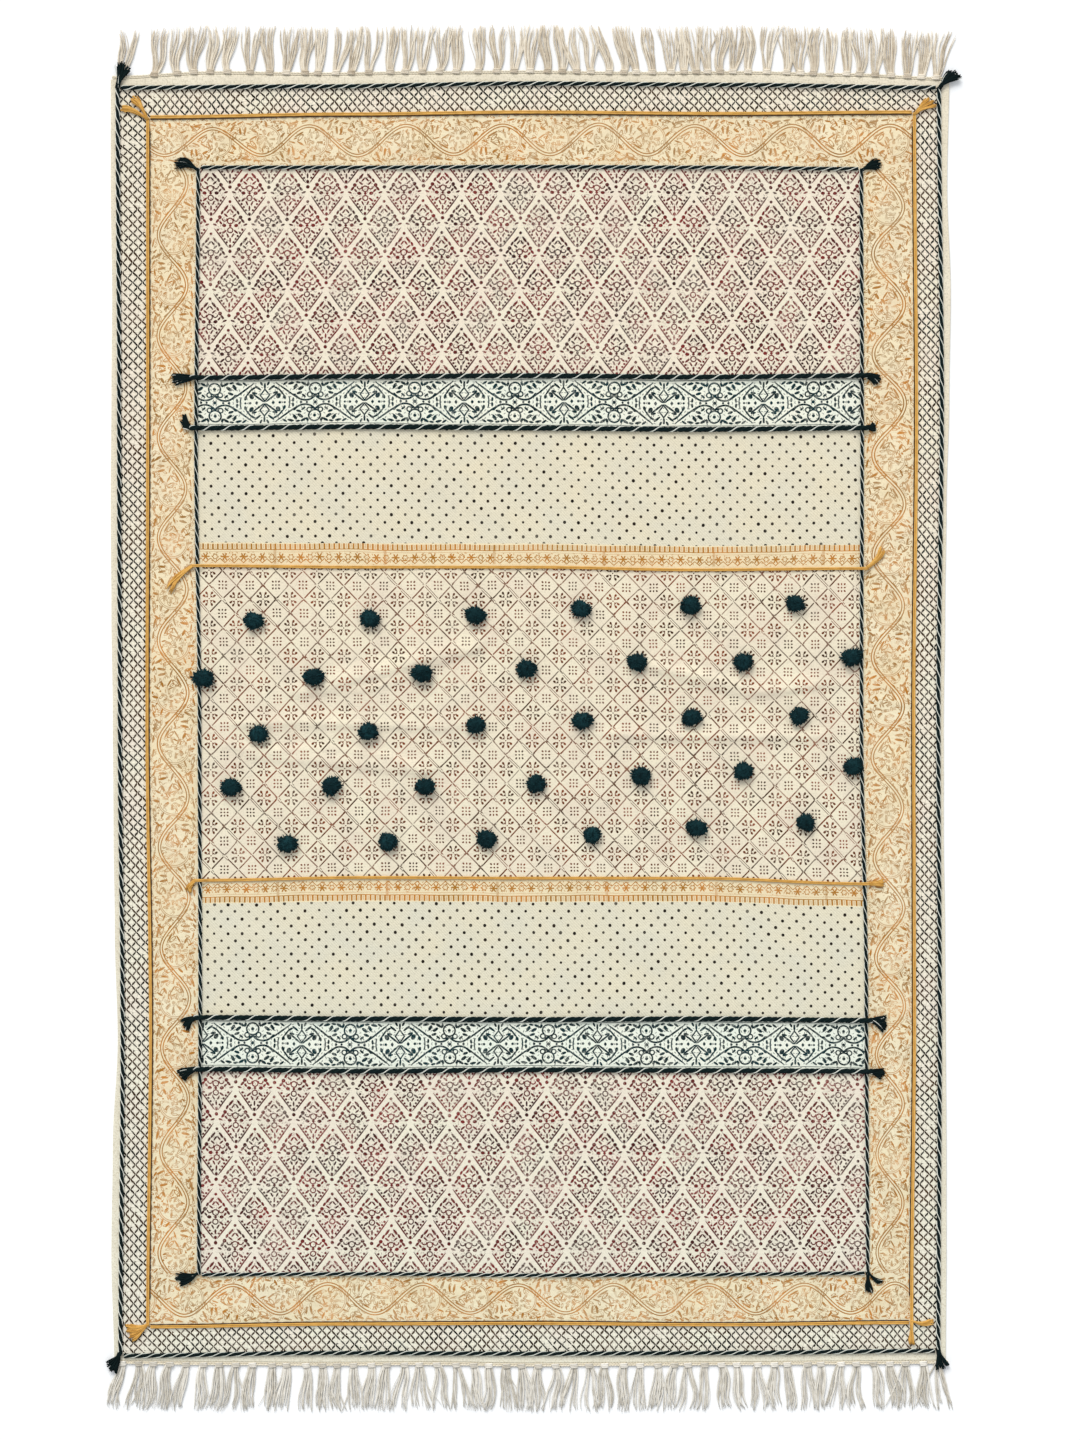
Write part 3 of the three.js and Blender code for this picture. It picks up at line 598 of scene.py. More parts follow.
def combPattern(paint, place, x, y):
    up = y > 0.0
    away = up.chosen(comb["lowerFoot"] - y, y - comb["upperFoot"])  # from the mustard cord outwards
    fromTooth = abs((x * (1 / comb["tooth"])).apply("FRACT") - 0.5)
    teeth = (fromTooth > 0.32) & (away > 21.5) & (away < 29.2)
    gap = away.near(25.5, 3.2) & (fromTooth < 0.16)
    lines = away.near(20.9, 0.6) | away.near(17.4, 0.35) * 0.5
    star = Cell(paint, x, away, comb["star"] / 2, oneCell)
    rise = away - comb["starHeight"]
    reach = joined(paint, star.x, rise).length()
    rose = (rise.apply("ARCTAN2", star.x) * 6.0).apply("COSINE")
    odd = star.numberX.apply("PINGPONG", 1.0) > 0.5
    stars = odd.chosen((reach - rose * 2.1) < 3.9, (reach - rose * 0.8).near(3.4, 0.7))
    zigzag = x.apply("PINGPONG", comb["star"] / 4)
    zig = (zigzag * 0.9 - (away - 1.6)).near(0.0, 0.75) & (away < 8.0)
    fine = scatteredLeaves(paint, place, 5.6, 1.9, 0.8, 0.7) & (away < 17.0)
    block = Cell(paint, x, away, comb["block"], oneCell, 30.0)
    inside = away < comb["height"]
    join = (abs(block.x) > 76.5) * 0.45 & inside
    edges = teeth * 0.95 | gap * 0.4 | lines | stars | zig | fine * 0.7 | join
    return (edges * (block.luck(4.0) * 0.35 + 0.8) & (away > 0.5)) | inside * 0.07


jaal = {
    "stepX": 38.6,
    "stepY": 40.4,
    "halfLine": 0.78,
    "block": (157, 81),
    "curl": (5.2, 5.3, 2.9, 0.5),  # a ring that is open beyond curlReach
    "curlReach": 11.6,
    "flower": {
        "dots": [(0, 0, 0.8)],
        "leaves": [(7.6, 4.3, 28, 1.9, 1.15), (4.0, 8.3, 66, 2.0, 1.15), (2.9, 3.0, 45, 1.4, 0.7)],
    },
    "grid": {
        "dots": [(0, 0, 1.0)],
        "leaves": [(4.7, 0, 0, 1.4, 0.75), (0, 4.9, 90, 1.4, 0.75), (4.6, 4.8, 45, 1.5, 0.9)],
    },
}


def jaalPattern(paint, place, x, y):
    stepX, stepY = jaal["stepX"], jaal["stepY"]
    cell = HalfDrop(paint, x, y, stepX, stepY, 5.0, 9.0)
    falling = (cell.x * cell.y) > 0.0
    fromTip = abs(cell.x) & abs(cell.y)
    heavy = Cell(paint, x, y, *jaal["block"], 40.0, 20.0).luck(1.0)
    stretch = Cell(paint, x, y, stepX / 2, stepY / 2).luck(6.0)
    line = cell.fromEdge < (jaal["halfLine"] - 0.1 + stretch * 0.3)
    falls = (stretch > 0.7).chosen(line, cell.fromEdge.near(1.35, 0.42))
    lines = falling.chosen(line & (fromTip > 1.2), falls) * (stretch * 0.42 + 0.56)
    spot = joined(paint, abs(cell.x), abs(cell.y))
    curl = (ring(spot, *jaal["curl"]) & ((abs(cell.x) + abs(cell.y)) < jaal["curlReach"])) * 0.7
    motif = cell.dropped.chosen(curl | charted(spot, jaal["flower"]), charted(spot, jaal["grid"]))
    luck = cell.luck(8.0)
    blot = (cell.reach > 0.455) & (fromTip < 2.4) & (luck > 0.66)
    inked = motif * (luck * 0.34 + 0.84) | lines * (heavy * 0.28 + 0.96) | blot * 0.8
    return inked | patchy(paint, place, 0.02) * 0.07


patternOf = {
    "plain": plainPattern,
    "lattice": latticePattern,
    "vine": vinePattern("y"),
    "vineAcross": vinePattern("x"),
    "medallion": medallionPattern,
    "teal": tealPattern,
    "dots": dotsPattern,
    "comb": combPattern,
    "jaal": jaalPattern,
}
clothMaterials = [printedCloth(zone.removesuffix("Across"), pattern) for zone, pattern in patternOf.items()]
zoneOrder = list(patternOf)
print("cloth materials made")


def placed(points):  # plan millimetres to metres on the floor
    return (np.asarray(points, float).reshape(-1, 3) + (*planShift, 0)) / 1000


def meshPiece(name, parts, materials):
    # each part: its points, its faces as arrays of corners, its material's number, and a UV for each corner
    points, corners, starts, numbers, strand = [], [], [], [], []
    base = loopBase = 0
    for part in parts:
        for faces, uv in zip(part["faces"], part["uvs"]):
            count, sides = faces.shape
            corners.append((faces + base).ravel())
            starts.append(loopBase + np.arange(count) * sides)
            numbers.append(np.full(count, part["material"]))
            strand.append(uv.reshape(-1, 2))
            loopBase += count * sides
        points.append(part["points"])
        base += len(part["points"])
    corners, starts = np.concatenate(corners), np.concatenate(starts)
    mesh = bpy.data.meshes.new(name)
    mesh.vertices.add(base)
    mesh.vertices.foreach_set("co", placed(np.concatenate(points)).ravel())
    mesh.loops.add(len(corners))
    mesh.loops.foreach_set("vertex_index", corners)
    mesh.polygons.add(len(starts))
    mesh.polygons.foreach_set("loop_start", starts)
    mesh.polygons.foreach_set("material_index", np.concatenate(numbers))
    mesh.polygons.foreach_set("use_smooth", np.ones(len(starts), bool))
    layer = mesh.uv_layers.new(name="strand")
    layer.data.foreach_set("uv", np.concatenate(strand).ravel())
    for material in materials:
        mesh.materials.append(material)
    mesh.update(calc_edges=True)
    mesh.validate()
    return ridingPiece(name, mesh)


def ridingPiece(name, mesh):
    piece = bpy.data.objects.new(name, mesh)
    bpy.context.scene.collection.objects.link(piece)
    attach(piece, "root")
    return piece


def unit(vectors):
    return vectors / (np.linalg.norm(vectors, axis=-1, keepdims=True) + 1e-9)


def tubes(paths, radii, sides, material=0):
    # closed tubes along paths of (count, stations, 3), with a radius for each station
    paths = np.asarray(paths, float)
    count, stations = paths.shape[:2]
    radii = np.broadcast_to(np.asarray(radii, float), (count, stations))
    ahead = unit(np.gradient(paths, axis=1))
    upright = np.abs(ahead.mean(axis=1, keepdims=True)[..., 2:3]) > 0.8
    reference = np.where(upright, np.array([1.0, 0.0, 0.0]), np.array([0.0, 0.0, 1.0]))
    aside = unit(np.cross(ahead, np.broadcast_to(reference, ahead.shape)))
    rise = np.cross(aside, ahead)
    turn = 2 * np.pi * np.arange(sides) / sides
    rim = np.cos(turn)[:, None] * aside[:, :, None] + np.sin(turn)[:, None] * rise[:, :, None]
    points = paths[:, :, None] + radii[:, :, None, None] * rim
    i, j = np.meshgrid(np.arange(stations - 1), np.arange(sides), indexing="ij")
    here, beside = i * sides + j, i * sides + (j + 1) % sides
    quad = np.stack([here, here + sides, beside + sides, beside], -1).reshape(-1, 4)
    shifts = (np.arange(count) * stations * sides)[:, None, None]
    quads = (quad[None] + shifts).reshape(-1, 4)
    first = np.arange(sides)
    last = (stations - 1) * sides + first[::-1]
    caps = np.concatenate([first[None] + shifts[:, :, 0], last[None] + shifts[:, :, 0]])
    steps = np.linalg.norm(np.diff(paths, axis=1), axis=2)
    run = np.concatenate([np.zeros((count, 1)), np.cumsum(steps, axis=1)], axis=1)
    u = np.stack([run[:, i], run[:, i + 1], run[:, i + 1], run[:, i]], -1).reshape(-1, 4)
    v = np.broadcast_to(np.stack([j, j, j + 1, j + 1], -1).reshape(-1, 4) / sides, (count, len(quad), 4))
    return {
        "points": points.reshape(-1, 3),
        "faces": [quads, caps],
        "uvs": [np.stack([u, v.reshape(-1, 4)], -1), np.zeros((len(caps), sides, 2))],
        "material": material,
    }


def reading(values, share):
    # a value on a smooth line through evenly spaced readings
    place = np.clip(share, 0, 1) * (len(values) - 1)
    index = np.minimum(np.asarray(place).astype(int), len(values) - 2)
    blend = place - index
    blend = blend * blend * (3 - 2 * blend)
    table = np.asarray(values, float)
    return table[index] * (1 - blend) + table[index + 1] * blend


def wobble(number, kind):
    # an uneven value from -1 to 1 that is always the same for the same two numbers
    raw = math.sin(number * 12.9898 + kind * 78.233) * 43758.5453
    return (raw - math.floor(raw)) * 2 - 1


cloth = {
    "width": 1200,
    "length": 1840,
    "thickness": 2.4,
    "cell": 9.4,
    "fineCell": (6.2, 4.3),  # across and along, where the ripples are
    "fineReach": 118,
    "pucker": 0.62,
    "edges": {  # how far the edges stand from a plain rectangle, bottom to top and left to right
        "left": [5, 1, 3, 10, 6, 4, 3, 1, 0, 1, 2, 0, 0],
        "right": [-5, -4, -4, -5, -6, -8, -8, -6, -4, 0, 2, -3, 0],
        "top": [-4, 3, 1, 3, 4, 2, 3, 0, -6],
        "bottom": [3, 1, 0, 1, -1, 0, 1, 2, 3],
    },
    "ripples": [  # from, to, height and half width of each ridge; its far side falls away in steepSide
        (-330, 38, -75, 104, 3.4, 26),
        (-410, -6, -60, -8, 2.0, 24),
        (-400, -50, -150, -74, 2.8, 24),
        (170, 76, 315, 36, 3.2, 24),
        (315, 36, 410, 50, 2.6, 24),
        (130, -22, 410, -28, 2.0, 22),
    ],
    "creases": [  # narrow folds, from and to, height and half width
        (-452, -36, -372, -44, 1.1, 7), (-372, -44, -290, -40, 1.5, 7), (-290, -40, -206, -52, 1.5, 7),
        (-206, -52, -150, -76, 1.7, 7), (-300, 38, -226, 44, 1.3, 7), (-226, 44, -146, 72, 1.4, 7),
        (-146, 72, -70, 104, 1.0, 7), (96, 96, 160, 78, 0.9, 7), (160, 78, 250, 62, 1.3, 7),
        (250, 62, 330, 40, 1.2, 7), (330, 40, 455, 52, 1.0, 7), (60, -18, 200, -26, 1.0, 8),
        (200, -26, 420, -22, 1.1, 8), (-440, -8, -330, -2, 0.9, 8), (-330, -2, -120, -14, 1.1, 8),
        (488, -252, 536, -266, 1.4, 9), (500, -640, 540, -668, 1.3, 9), (492, 30, 540, 22, 0.9, 8),
        (-120, 470, -60, 430, 0.8, 8), (96, 452, 210, 446, 0.7, 7), (-360, 340, -250, 300, 0.8, 10),
        (-180, 352, -40, 290, 0.8, 10), (60, 350, 190, 300, 0.8, 10), (260, 352, 400, 296, 0.8, 10),
        (-420, -300, -300, -340, 0.8, 10), (-160, -310, -20, -350, 0.9, 10), (150, -300, 300, -345, 0.8, 10),
    ],
    "steepSide": 0.55,
    "inset": 1.2,  # from the edge to the last line of points before it
    "softInside": (560, 880),  # where creases and puckers begin to fade, over softFade, towards the edges
    "softFade": 60,
    "bakeTop": ((0.985, 0.90), (0.0075, 0.005)),  # scale and shift of the baked UV
    "bakeUnder": (0.06, 0.925),  # the underside's strip above it
    "combEdges": (-262, 251),
    "fieldZones": ["medallion", "teal", "dots", "comb", "jaal", "comb", "dots", "teal", "medallion"],
}
halfWidth, halfLength = cloth["width"] / 2, cloth["length"] / 2

# Side cords run from bottom to top and wander a little from x; tips are where their ends fray to
sideCords = {
    "cord_outer_left": {
        "x": -587, "wander": [1, 4, 0, -1, -3], "from": -908, "to": 906,
        "start": [(-20, -15), (-15, -23), (-7, -27)], "end": [(1, 33), (8, 34), (17, 27)],
    },
    "cord_outer_right": {
        "x": 586, "wander": [-2, 0, -2, 3, -1], "from": -904, "to": 905,
        "start": [(-3, -26), (6, -25), (14, -20)], "end": [(17, 24), (25, 21), (31, 15)],
    },
    "cord_mustard_left": {
        "x": -547, "wander": [0, 4, -1, 0, 0], "from": -868, "to": 861,
        "start": [(-31, 1), (-31, -7), (-28, -14), (-22, -20)],
        "end": [(-20, 31), (-24, 28), (-38, 15), (-39, 11)],
    },
    "cord_mustard_right": {
        "x": 549, "wander": [-3, 1, 0, 4, 1], "from": -863, "to": 868,
        "start": [(31, 0), (31, 4), (-3, -31), (2, -31)], "end": [(21, 21), (28, 17), (32, 10)],
    },
    "cord_inner_left": {
        "x": -474, "wander": [0, 2, 1, -4, -1], "from": -794, "to": 789,
        "start": [(-33, -1), (-33, -8), (-28, -14)], "end": [(-28, 14), (-33, 9), (-32, 3)],
    },
    "cord_inner_right": {
        "x": 477, "wander": [6, 4, -3, -2, -3], "from": -793, "to": 788,
        "start": [(-2, -26), (5, -27), (21, -12)], "end": [(24, 12), (28, 8), (27, 2)],
    },
}
endCords = {  # across the rug, left to right, between the two side cords of their frame
    "cord_outer_top": {"y": 907, "wander": [-3, -1, 3, 1, -3]},
    "cord_outer_bottom": {"y": -907, "wander": [-3, 1, 0, 1, 4]},
    "cord_mustard_top": {"y": 866, "wander": [-4, 0, 3, 1, 3]},
    "cord_mustard_bottom": {"y": -865, "wander": [-4, 0, 1, -1, 2]},
    "cord_inner_top": {"y": 790, "wander": [0, 0, 1, 0, -2]},
    "cord_inner_bottom": {"y": -794, "wander": [0, 1, -1, 0, 2]},
}
crossCords = {  # over the inner side cords; tips are given from the crossing
    "cord_band_upper_a": {
        "y": 491, "wander": [-2, 0, 1, -1, 1],
        "left": [(-36, 3), (-35, -4), (-31, -9)], "right": [(25, -3), (26, -8), (22, -12)],
    },
    "cord_band_upper_b": {
        "y": 417, "wander": [0, 2, 0, -2, 0],
        "left": [(-16, 20), (-20, 12), (-19, 2)], "right": [(19, -5), (20, 1), (17, 7)],
    },
    "cord_band_lower_a": {
        "y": -428, "wander": [2, 0, -1, 0, -2],
        "left": [(-28, -4), (-24, -13), (-18, -19)], "right": [(29, 5), (29, -4), (29, -11), (25, -17)],
    },
    "cord_band_lower_b": {
        "y": -502, "wander": [2, -1, 1, 0, -1],
        "left": [(-33, -4), (-29, -10), (-24, -16)], "right": [(25, 2), (26, -4), (22, -10)],
    },
    "cord_middle_upper": {
        "y": 217, "wander": [3, 1, 1, -3, -1],
        "left": [(-44, -32), (-39, -38)], "right": [(33, 26), (28, 31)],
    },
    "cord_middle_lower": {
        "y": -228, "wander": [-2, 2, 1, 1, -7],
        "left": [(-19, -14), (-14, -18)], "right": [(29, 4), (28, -2)],
    },
}

levelCords = {**endCords, **crossCords}
frameReach = {"outer": 587, "mustard": 548}  # half the length of the end cords, where it isn't the inner one's
innerReach = 475
acrossNames = sorted(sideCords, key=lambda name: sideCords[name]["x"])
alongNames = sorted(levelCords, key=lambda name: levelCords[name]["y"])
acrossAnchors = np.array([-halfWidth, *(sideCords[name]["x"] for name in acrossNames), halfWidth], float)
alongAnchors = np.array([-halfLength, *(levelCords[name]["y"] for name in alongNames), halfLength], float)


def kindOf(name):
    return name.split("_")[1]


def sideX(name, y):
    cord = sideCords[name]
    return cord["x"] + reading(cord["wander"], (y - cord["from"]) / (cord["to"] - cord["from"]))


def levelY(name, x):
    reach = frameReach.get(kindOf(name), innerReach)
    return levelCords[name]["y"] + reading(levelCords[name]["wander"], (x + reach) / (2 * reach))


def edgeX(side, y):
    away = reading(cloth["edges"][side], y / cloth["length"] + 0.5)
    return away + (-halfWidth if side == "left" else halfWidth)


def edgeY(end, x):
    away = reading(cloth["edges"][end], x / cloth["width"] + 0.5)
    return away + (-halfLength if end == "bottom" else halfLength)


def spaced(anchors, step):
    lines = [anchors[0]]
    for low, high in zip(anchors, anchors[1:]):
        count = max(1, round((high - low) / step))
        lines += [low + (high - low) * (k + 1) / count for k in range(count)]
    return np.array(lines, float)


def between(position, anchors, actual):
    # where a straightened position lies, between lines whose own places are known
    index = np.clip(np.searchsorted(anchors, position, side="right") - 1, 0, len(anchors) - 2)
    share = (position - anchors[index]) / (anchors[index + 1] - anchors[index])
    return actual[index] * (1 - share) + actual[index + 1] * share


def ridge(x, y, fromX, fromY, toX, toY, height, halfWidth, steep=1.0):
    runX, runY = toX - fromX, toY - fromY
    length = math.hypot(runX, runY)
    share = np.clip(((x - fromX) * runX + (y - fromY) * runY) / length**2, 0, 1)
    awayX, awayY = x - fromX - share * runX, y - fromY - share * runY
    lower = (awayX * runY - awayY * runX) / length > 0  # the side that faces the lower end
    away = np.hypot(awayX, awayY) / np.where(lower, halfWidth * steep, halfWidth)
    return height * np.cos(np.clip(away, 0, 1) * np.pi / 2) ** 2


def rippleLift(x, y):
    lift = np.zeros_like(x)
    for ripple in cloth["ripples"]:
        lift = np.maximum(lift, ridge(x, y, *ripple, cloth["steepSide"]))
    return lift


def softLift(x, y):
    # narrow creases and faint puckers, gone at the cloth's edges
    waves = (
        np.sin(x / 47 + 1.3 * np.sin(y / 83)) * np.sin(y / 39 + 1.1 * np.sin(x / 71))
        + 0.6 * np.sin((x + y) / 29 + 2.0 * np.sin(y / 57))
    )
    fadeX, fadeY = (np.clip((start - np.abs(place)) / cloth["softFade"], 0, 1)
                    for start, place in zip(cloth["softInside"], (x, y)))
    lift = cloth["pucker"] * np.clip(waves, 0, None) * fadeX * fadeY
    for crease in cloth["creases"]:
        lift += ridge(x, y, *crease)
    return lift


def clothPlace(s, t):
    actualX = [edgeX("left", t), *(sideX(name, t) for name in acrossNames), edgeX("right", t)]
    actualY = [edgeY("bottom", s), *(levelY(name, s) for name in alongNames), edgeY("top", s)]
    return between(s, acrossAnchors, actualX), between(t, alongAnchors, actualY)


def zoneOf(s, t):
    # the outer frames first: how many cords lie further out, both ways
    inX, inY = (min(np.searchsorted(anchors, place), len(anchors) - np.searchsorted(anchors, place)) - 1
                for anchors, place in ((acrossAnchors, s), (alongAnchors, t)))
    if min(inX, inY) < 2:
        return ("plain", "lattice")[min(inX, inY)]
    if inY == 2:
        return "vineAcross"
    if inX == 2:
        return "vine"
    fieldEdges = sorted([*alongAnchors[4:-4], *cloth["combEdges"]])
    return cloth["fieldZones"][np.searchsorted(fieldEdges, t)]


def makeCloth():
    inset, reach = cloth["inset"], cloth["fineReach"]
    fineX, fineY = cloth["fineCell"]
    columns = spaced(sorted([*acrossAnchors, inset - halfWidth, halfWidth - inset]), fineX)
    alongLines = [*alongAnchors, *cloth["combEdges"], -reach, reach, inset - halfLength, halfLength - inset]
    rows = spaced(sorted(alongLines), cloth["cell"])
    rows = np.sort(np.concatenate([rows[np.abs(rows) > reach], spaced([-reach, reach], fineY)]))
    wide, high = len(columns), len(rows)
    x, y = np.moveaxis([[clothPlace(s, t) for s in columns] for t in rows], -1, 0)
    lift = rippleLift(x, y)
    top = np.stack([x, y, lift + cloth["thickness"] + softLift(x, y)], -1).reshape(-1, 3)
    bottom = np.stack([x, y, lift], -1).reshape(-1, 3)
    layer = wide * high
    column, row = np.meshgrid(np.arange(wide - 1), np.arange(high - 1))
    corner = (row * wide + column).ravel()
    upper = np.stack([corner, corner + 1, corner + wide + 1, corner + wide], -1)
    lower = upper[:, [0, 3, 2, 1]] + layer
    around = [*range(wide), *(wide - 1 + wide * k for k in range(1, high))]
    around += [layer - 1 - k for k in range(1, wide)] + [wide * (high - 1 - k) for k in range(1, high - 1)]
    around = np.array(around)
    following = np.roll(around, -1)
    rim = np.stack([around + layer, following + layer, following, around], -1)
    faces = np.concatenate([upper, lower, rim])

    plan = np.tile(np.stack(np.meshgrid(columns, rows), -1).reshape(-1, 2), (2, 1))
    share = plan / (cloth["width"], cloth["length"]) + 0.5
    scale, shift = cloth["bakeTop"]
    mapped = share * scale + shift
    scale, shift = cloth["bakeUnder"]
    mapped[layer:, 1] = share[layer:, 1] * scale + shift
    middleS, middleT = (columns[1:] + columns[:-1]) / 2, (rows[1:] + rows[:-1]) / 2
    numbers = [zoneOrder.index(zoneOf(s, t)) for t in middleT for s in middleS]
    numbers += [zoneOrder.index("plain")] * (len(lower) + len(rim))

    mesh = bpy.data.meshes.new("printed_cloth")
    mesh.from_pydata(placed(np.concatenate([top, bottom])).tolist(), [], faces.tolist())
    for material in clothMaterials:
        mesh.materials.append(material)
    mesh.polygons.foreach_set("material_index", numbers)
    mesh.polygons.foreach_set("use_smooth", [True] * len(faces))
    for name, values in (("OFBake", mapped), ("print", plan)):
        mesh.uv_layers.new(name=name).data.foreach_set("uv", values[faces.ravel()].ravel())
    mesh.update()
    piece = ridingPiece("printed_cloth", mesh)
    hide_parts("dhurrie_cloth")
    return piece


clothPiece = makeCloth()
print("cloth made", len(clothPiece.data.polygons))


yarnColours = {
    "green": {"dark": (1, 9, 9), "light": (12, 32, 33), "roughness": 0.85, "bump": 0.35},
    "white": {"dark": (186, 192, 182), "light": (238, 238, 228), "roughness": 0.85, "bump": 0.3},
    "mustard": {"dark": (168, 114, 38), "light": (240, 191, 106), "roughness": 0.75, "bump": 0.3},
    "brown": {"dark": (40, 26, 20), "light": (92, 66, 48), "roughness": 0.85, "bump": 0.2},
    "natural": {"dark": (174, 156, 130), "light": (252, 243, 226), "roughness": 0.85, "bump": 0.3},
    # painted cooler light: the natural yarn as it looks under the cooler light at the lower end
    "naturalPaintedCoolLight": {"dark": (174, 165, 147), "light": (250, 246, 238), "roughness": 0.85, "bump": 0.3},
    "strip": {"dark": (214, 204, 182), "light": (242, 233, 214), "roughness": 0.88, "bump": 0.2},
    "tuft": {"dark": (0, 8, 11), "light": (24, 62, 67), "roughness": 0.9, "bump": 0.2},
}
yarnFibre = {"along": 1.9, "around": 25.1, "patchScale": 140.0, "specular": 0.12, "bumpDistance": 0.0003}


def yarnMaterial(name):
    look = yarnColours[name]
    material, shader, paint = newMaterial(name + "_yarn")
    u, v = paint.node("ShaderNodeUVMap", {"uv_map": "strand"}).split()
    island = paint.node("ShaderNodeNewGeometry", None, None, 8)
    body = paint.node("ShaderNodeTexCoord", None, None, 3)
    patches = noise(paint, body, yarnFibre["patchScale"])
    fibre = (u * yarnFibre["along"] + v * yarnFibre["around"]).apply("SINE") * 0.5 + 0.5
    # painted shade: the twist's grooves, which the fibre bump lowers, are also coloured darker; island and
    # patches are the yarn's own uneven tone
    tone = (island * 0.5 + patches * 0.6 + fibre * 0.2).clamped(1.0, -0.15)
    colour = tone.blended(linear(*look["dark"]), linear(*look["light"]))
    normal = fibre.bump(look["bump"], yarnFibre["bumpDistance"])
    dress(shader, colour, normal, look["roughness"], yarnFibre["specular"])
    return material


yarns = {name: yarnMaterial(name) for name in yarnColours}

# Strands: where round the section each one starts, its radius and its material's number
cordLooks = {
    "outer": {
        "width": 6.8, "height": 4.6, "pitch": 38, "perTip": 17, "tailSpread": 3.1, "tailYarn": 1.0,
        "strands": [(0.0, 2.1, 0), (0.5, 2.1, 0), (0.25, 0.72, 1), (0.75, 0.72, 1)],
    },
    "inner": {
        "width": 6.0, "height": 4.1, "pitch": 36, "perTip": 14, "tailSpread": 3.1, "tailYarn": 1.0,
        "strands": [(0.0, 1.85, 0), (0.5, 1.85, 0), (0.25, 0.62, 1), (0.75, 0.62, 1)],
    },
    "band": {
        "width": 8.0, "height": 5.4, "pitch": 28, "perTip": 15, "tailSpread": 3.1, "tailYarn": 1.0,
        "strands": [(0.0, 1.95, 0), (0.3, 1.95, 0), (0.6, 1.95, 0), (0.8, 0.85, 1)],
    },
    "mustard": {
        "width": 5.0, "height": 3.6, "pitch": 60, "perTip": 13, "tailSpread": 1.7, "tailYarn": 1.0,
        "strands": [(0.0, 1.3, 0), (0.5, 1.3, 0)],
    },
    "middle": {
        "width": 4.6, "height": 3.4, "pitch": 52, "perTip": 13, "tailSpread": 1.7, "tailYarn": 0.9,
        "strands": [(0.0, 1.2, 0), (0.5, 1.2, 0)],
    },
}
mustardKinds = ("mustard", "middle")
cordMaking = {
    "seat": 2.7,  # height of the cords' underside
    "stationsPerTurn": 10,
    "longestStep": 4.2,
    "unevenStep": 60,
    "unevenTwist": 0.09,  # turns
    "unevenRadius": (0.92, 1.06),
    "lightProud": 0.25,
    "sidePoints": 90,
    "endPoints": 70,
    "endClear": 1.4,
    "outerTailLift": 1.2,
}
couching = {"radius": 0.9, "pitch": 14.5, "aside": 3.0, "rise": 0.9, "sway": 0.75}  # thread beside mustard
crossing = {"overhang": 9, "lift": 3.9, "top": 3.45, "reach": 11}
tails = {
    "stations": 8,
    "taper": [1, 1, 1, 1, 1, 0.97, 0.92, 0.8],
    "radii": (1.0, 0.6),  # of a dark and a light yarn
    "lightYarn": 5,
    "back": 3,  # how far inside the cord's end they start
    "rootShare": 0.42,
    "stray": 0.6,
    "grow": (0.80, 1.03),
    "rootLift": (0.2, 0.85),
    "endLift": (0.7, 3.4),
    "bend": 0.16,
    "bendReach": (0.36, 0.56),
    "bendLift": (1.4, 5.0),
}


def stationsOn(line, step):
    # evenly spaced stations on a line: how far along it each is, its place, and the way to its left
    run = np.concatenate([[0], np.cumsum(np.linalg.norm(np.diff(line, axis=0), axis=1))])
    at = np.linspace(0, run[-1], int(run[-1] / step) + 2)
    middle = np.stack([np.interp(at, run, line[:, k]) for k in range(3)], -1)
    ahead = np.gradient(middle, axis=0)
    ahead[:, 2] = 0
    ahead = unit(ahead)
    return at, middle, np.stack([-ahead[:, 1], ahead[:, 0], np.zeros(len(at))], -1)


def cordParts(kind, line, seed):
    # twisted strands that follow a line of points on the cord's underside
    look = cordLooks[kind]
    draw = random.Random(seed)
    step = min(look["pitch"] / cordMaking["stationsPerTurn"], cordMaking["longestStep"])
    at, middle, left = stationsOn(line, step)
    knots = np.linspace(0, at[-1], max(4, int(at[-1] / cordMaking["unevenStep"])))

    def uneven(low, high):
        return np.interp(at, knots, [draw.uniform(low, high) for _ in knots])

    turns = at / look["pitch"] + uneven(-cordMaking["unevenTwist"], cordMaking["unevenTwist"])
    parts = []
    for start, radius, material in look["strands"]:
        angle = -2 * np.pi * (turns + start)
        if kind in mustardKinds:  # two strands side by side that hardly turn
            angle = 0.5 * np.sin(2 * np.pi * turns) + 2 * np.pi * start
        inwards = radius - (cordMaking["lightProud"] if material else 0)
        path = middle + left * (np.cos(angle) * (look["width"] / 2 - inwards))[:, None]
        path[:, 2] += look["height"] / 2 + np.sin(angle) * (look["height"] / 2 - inwards)
        parts.append(tubes(path[None], radius * uneven(*cordMaking["unevenRadius"])[None], 5, material))
    return parts


def couchingPart(line, side, seed):
    # a thin dark thread that dips in and out of the cloth along a mustard cord's field side
    at, middle, left = stationsOn(line, couching["pitch"] / 6)
    turn = 2 * np.pi * (at / couching["pitch"] + 0.2 * np.sin(at / 61 + random.Random(seed).uniform(0, 6)))
    path = middle + left * (side * (couching["aside"] + 0.25 * np.sin(turn)))[:, None]
    path[:, 2] += couching["rise"] + couching["sway"] * np.sin(turn)
    return tubes(path[None], couching["radius"], 5, 1)


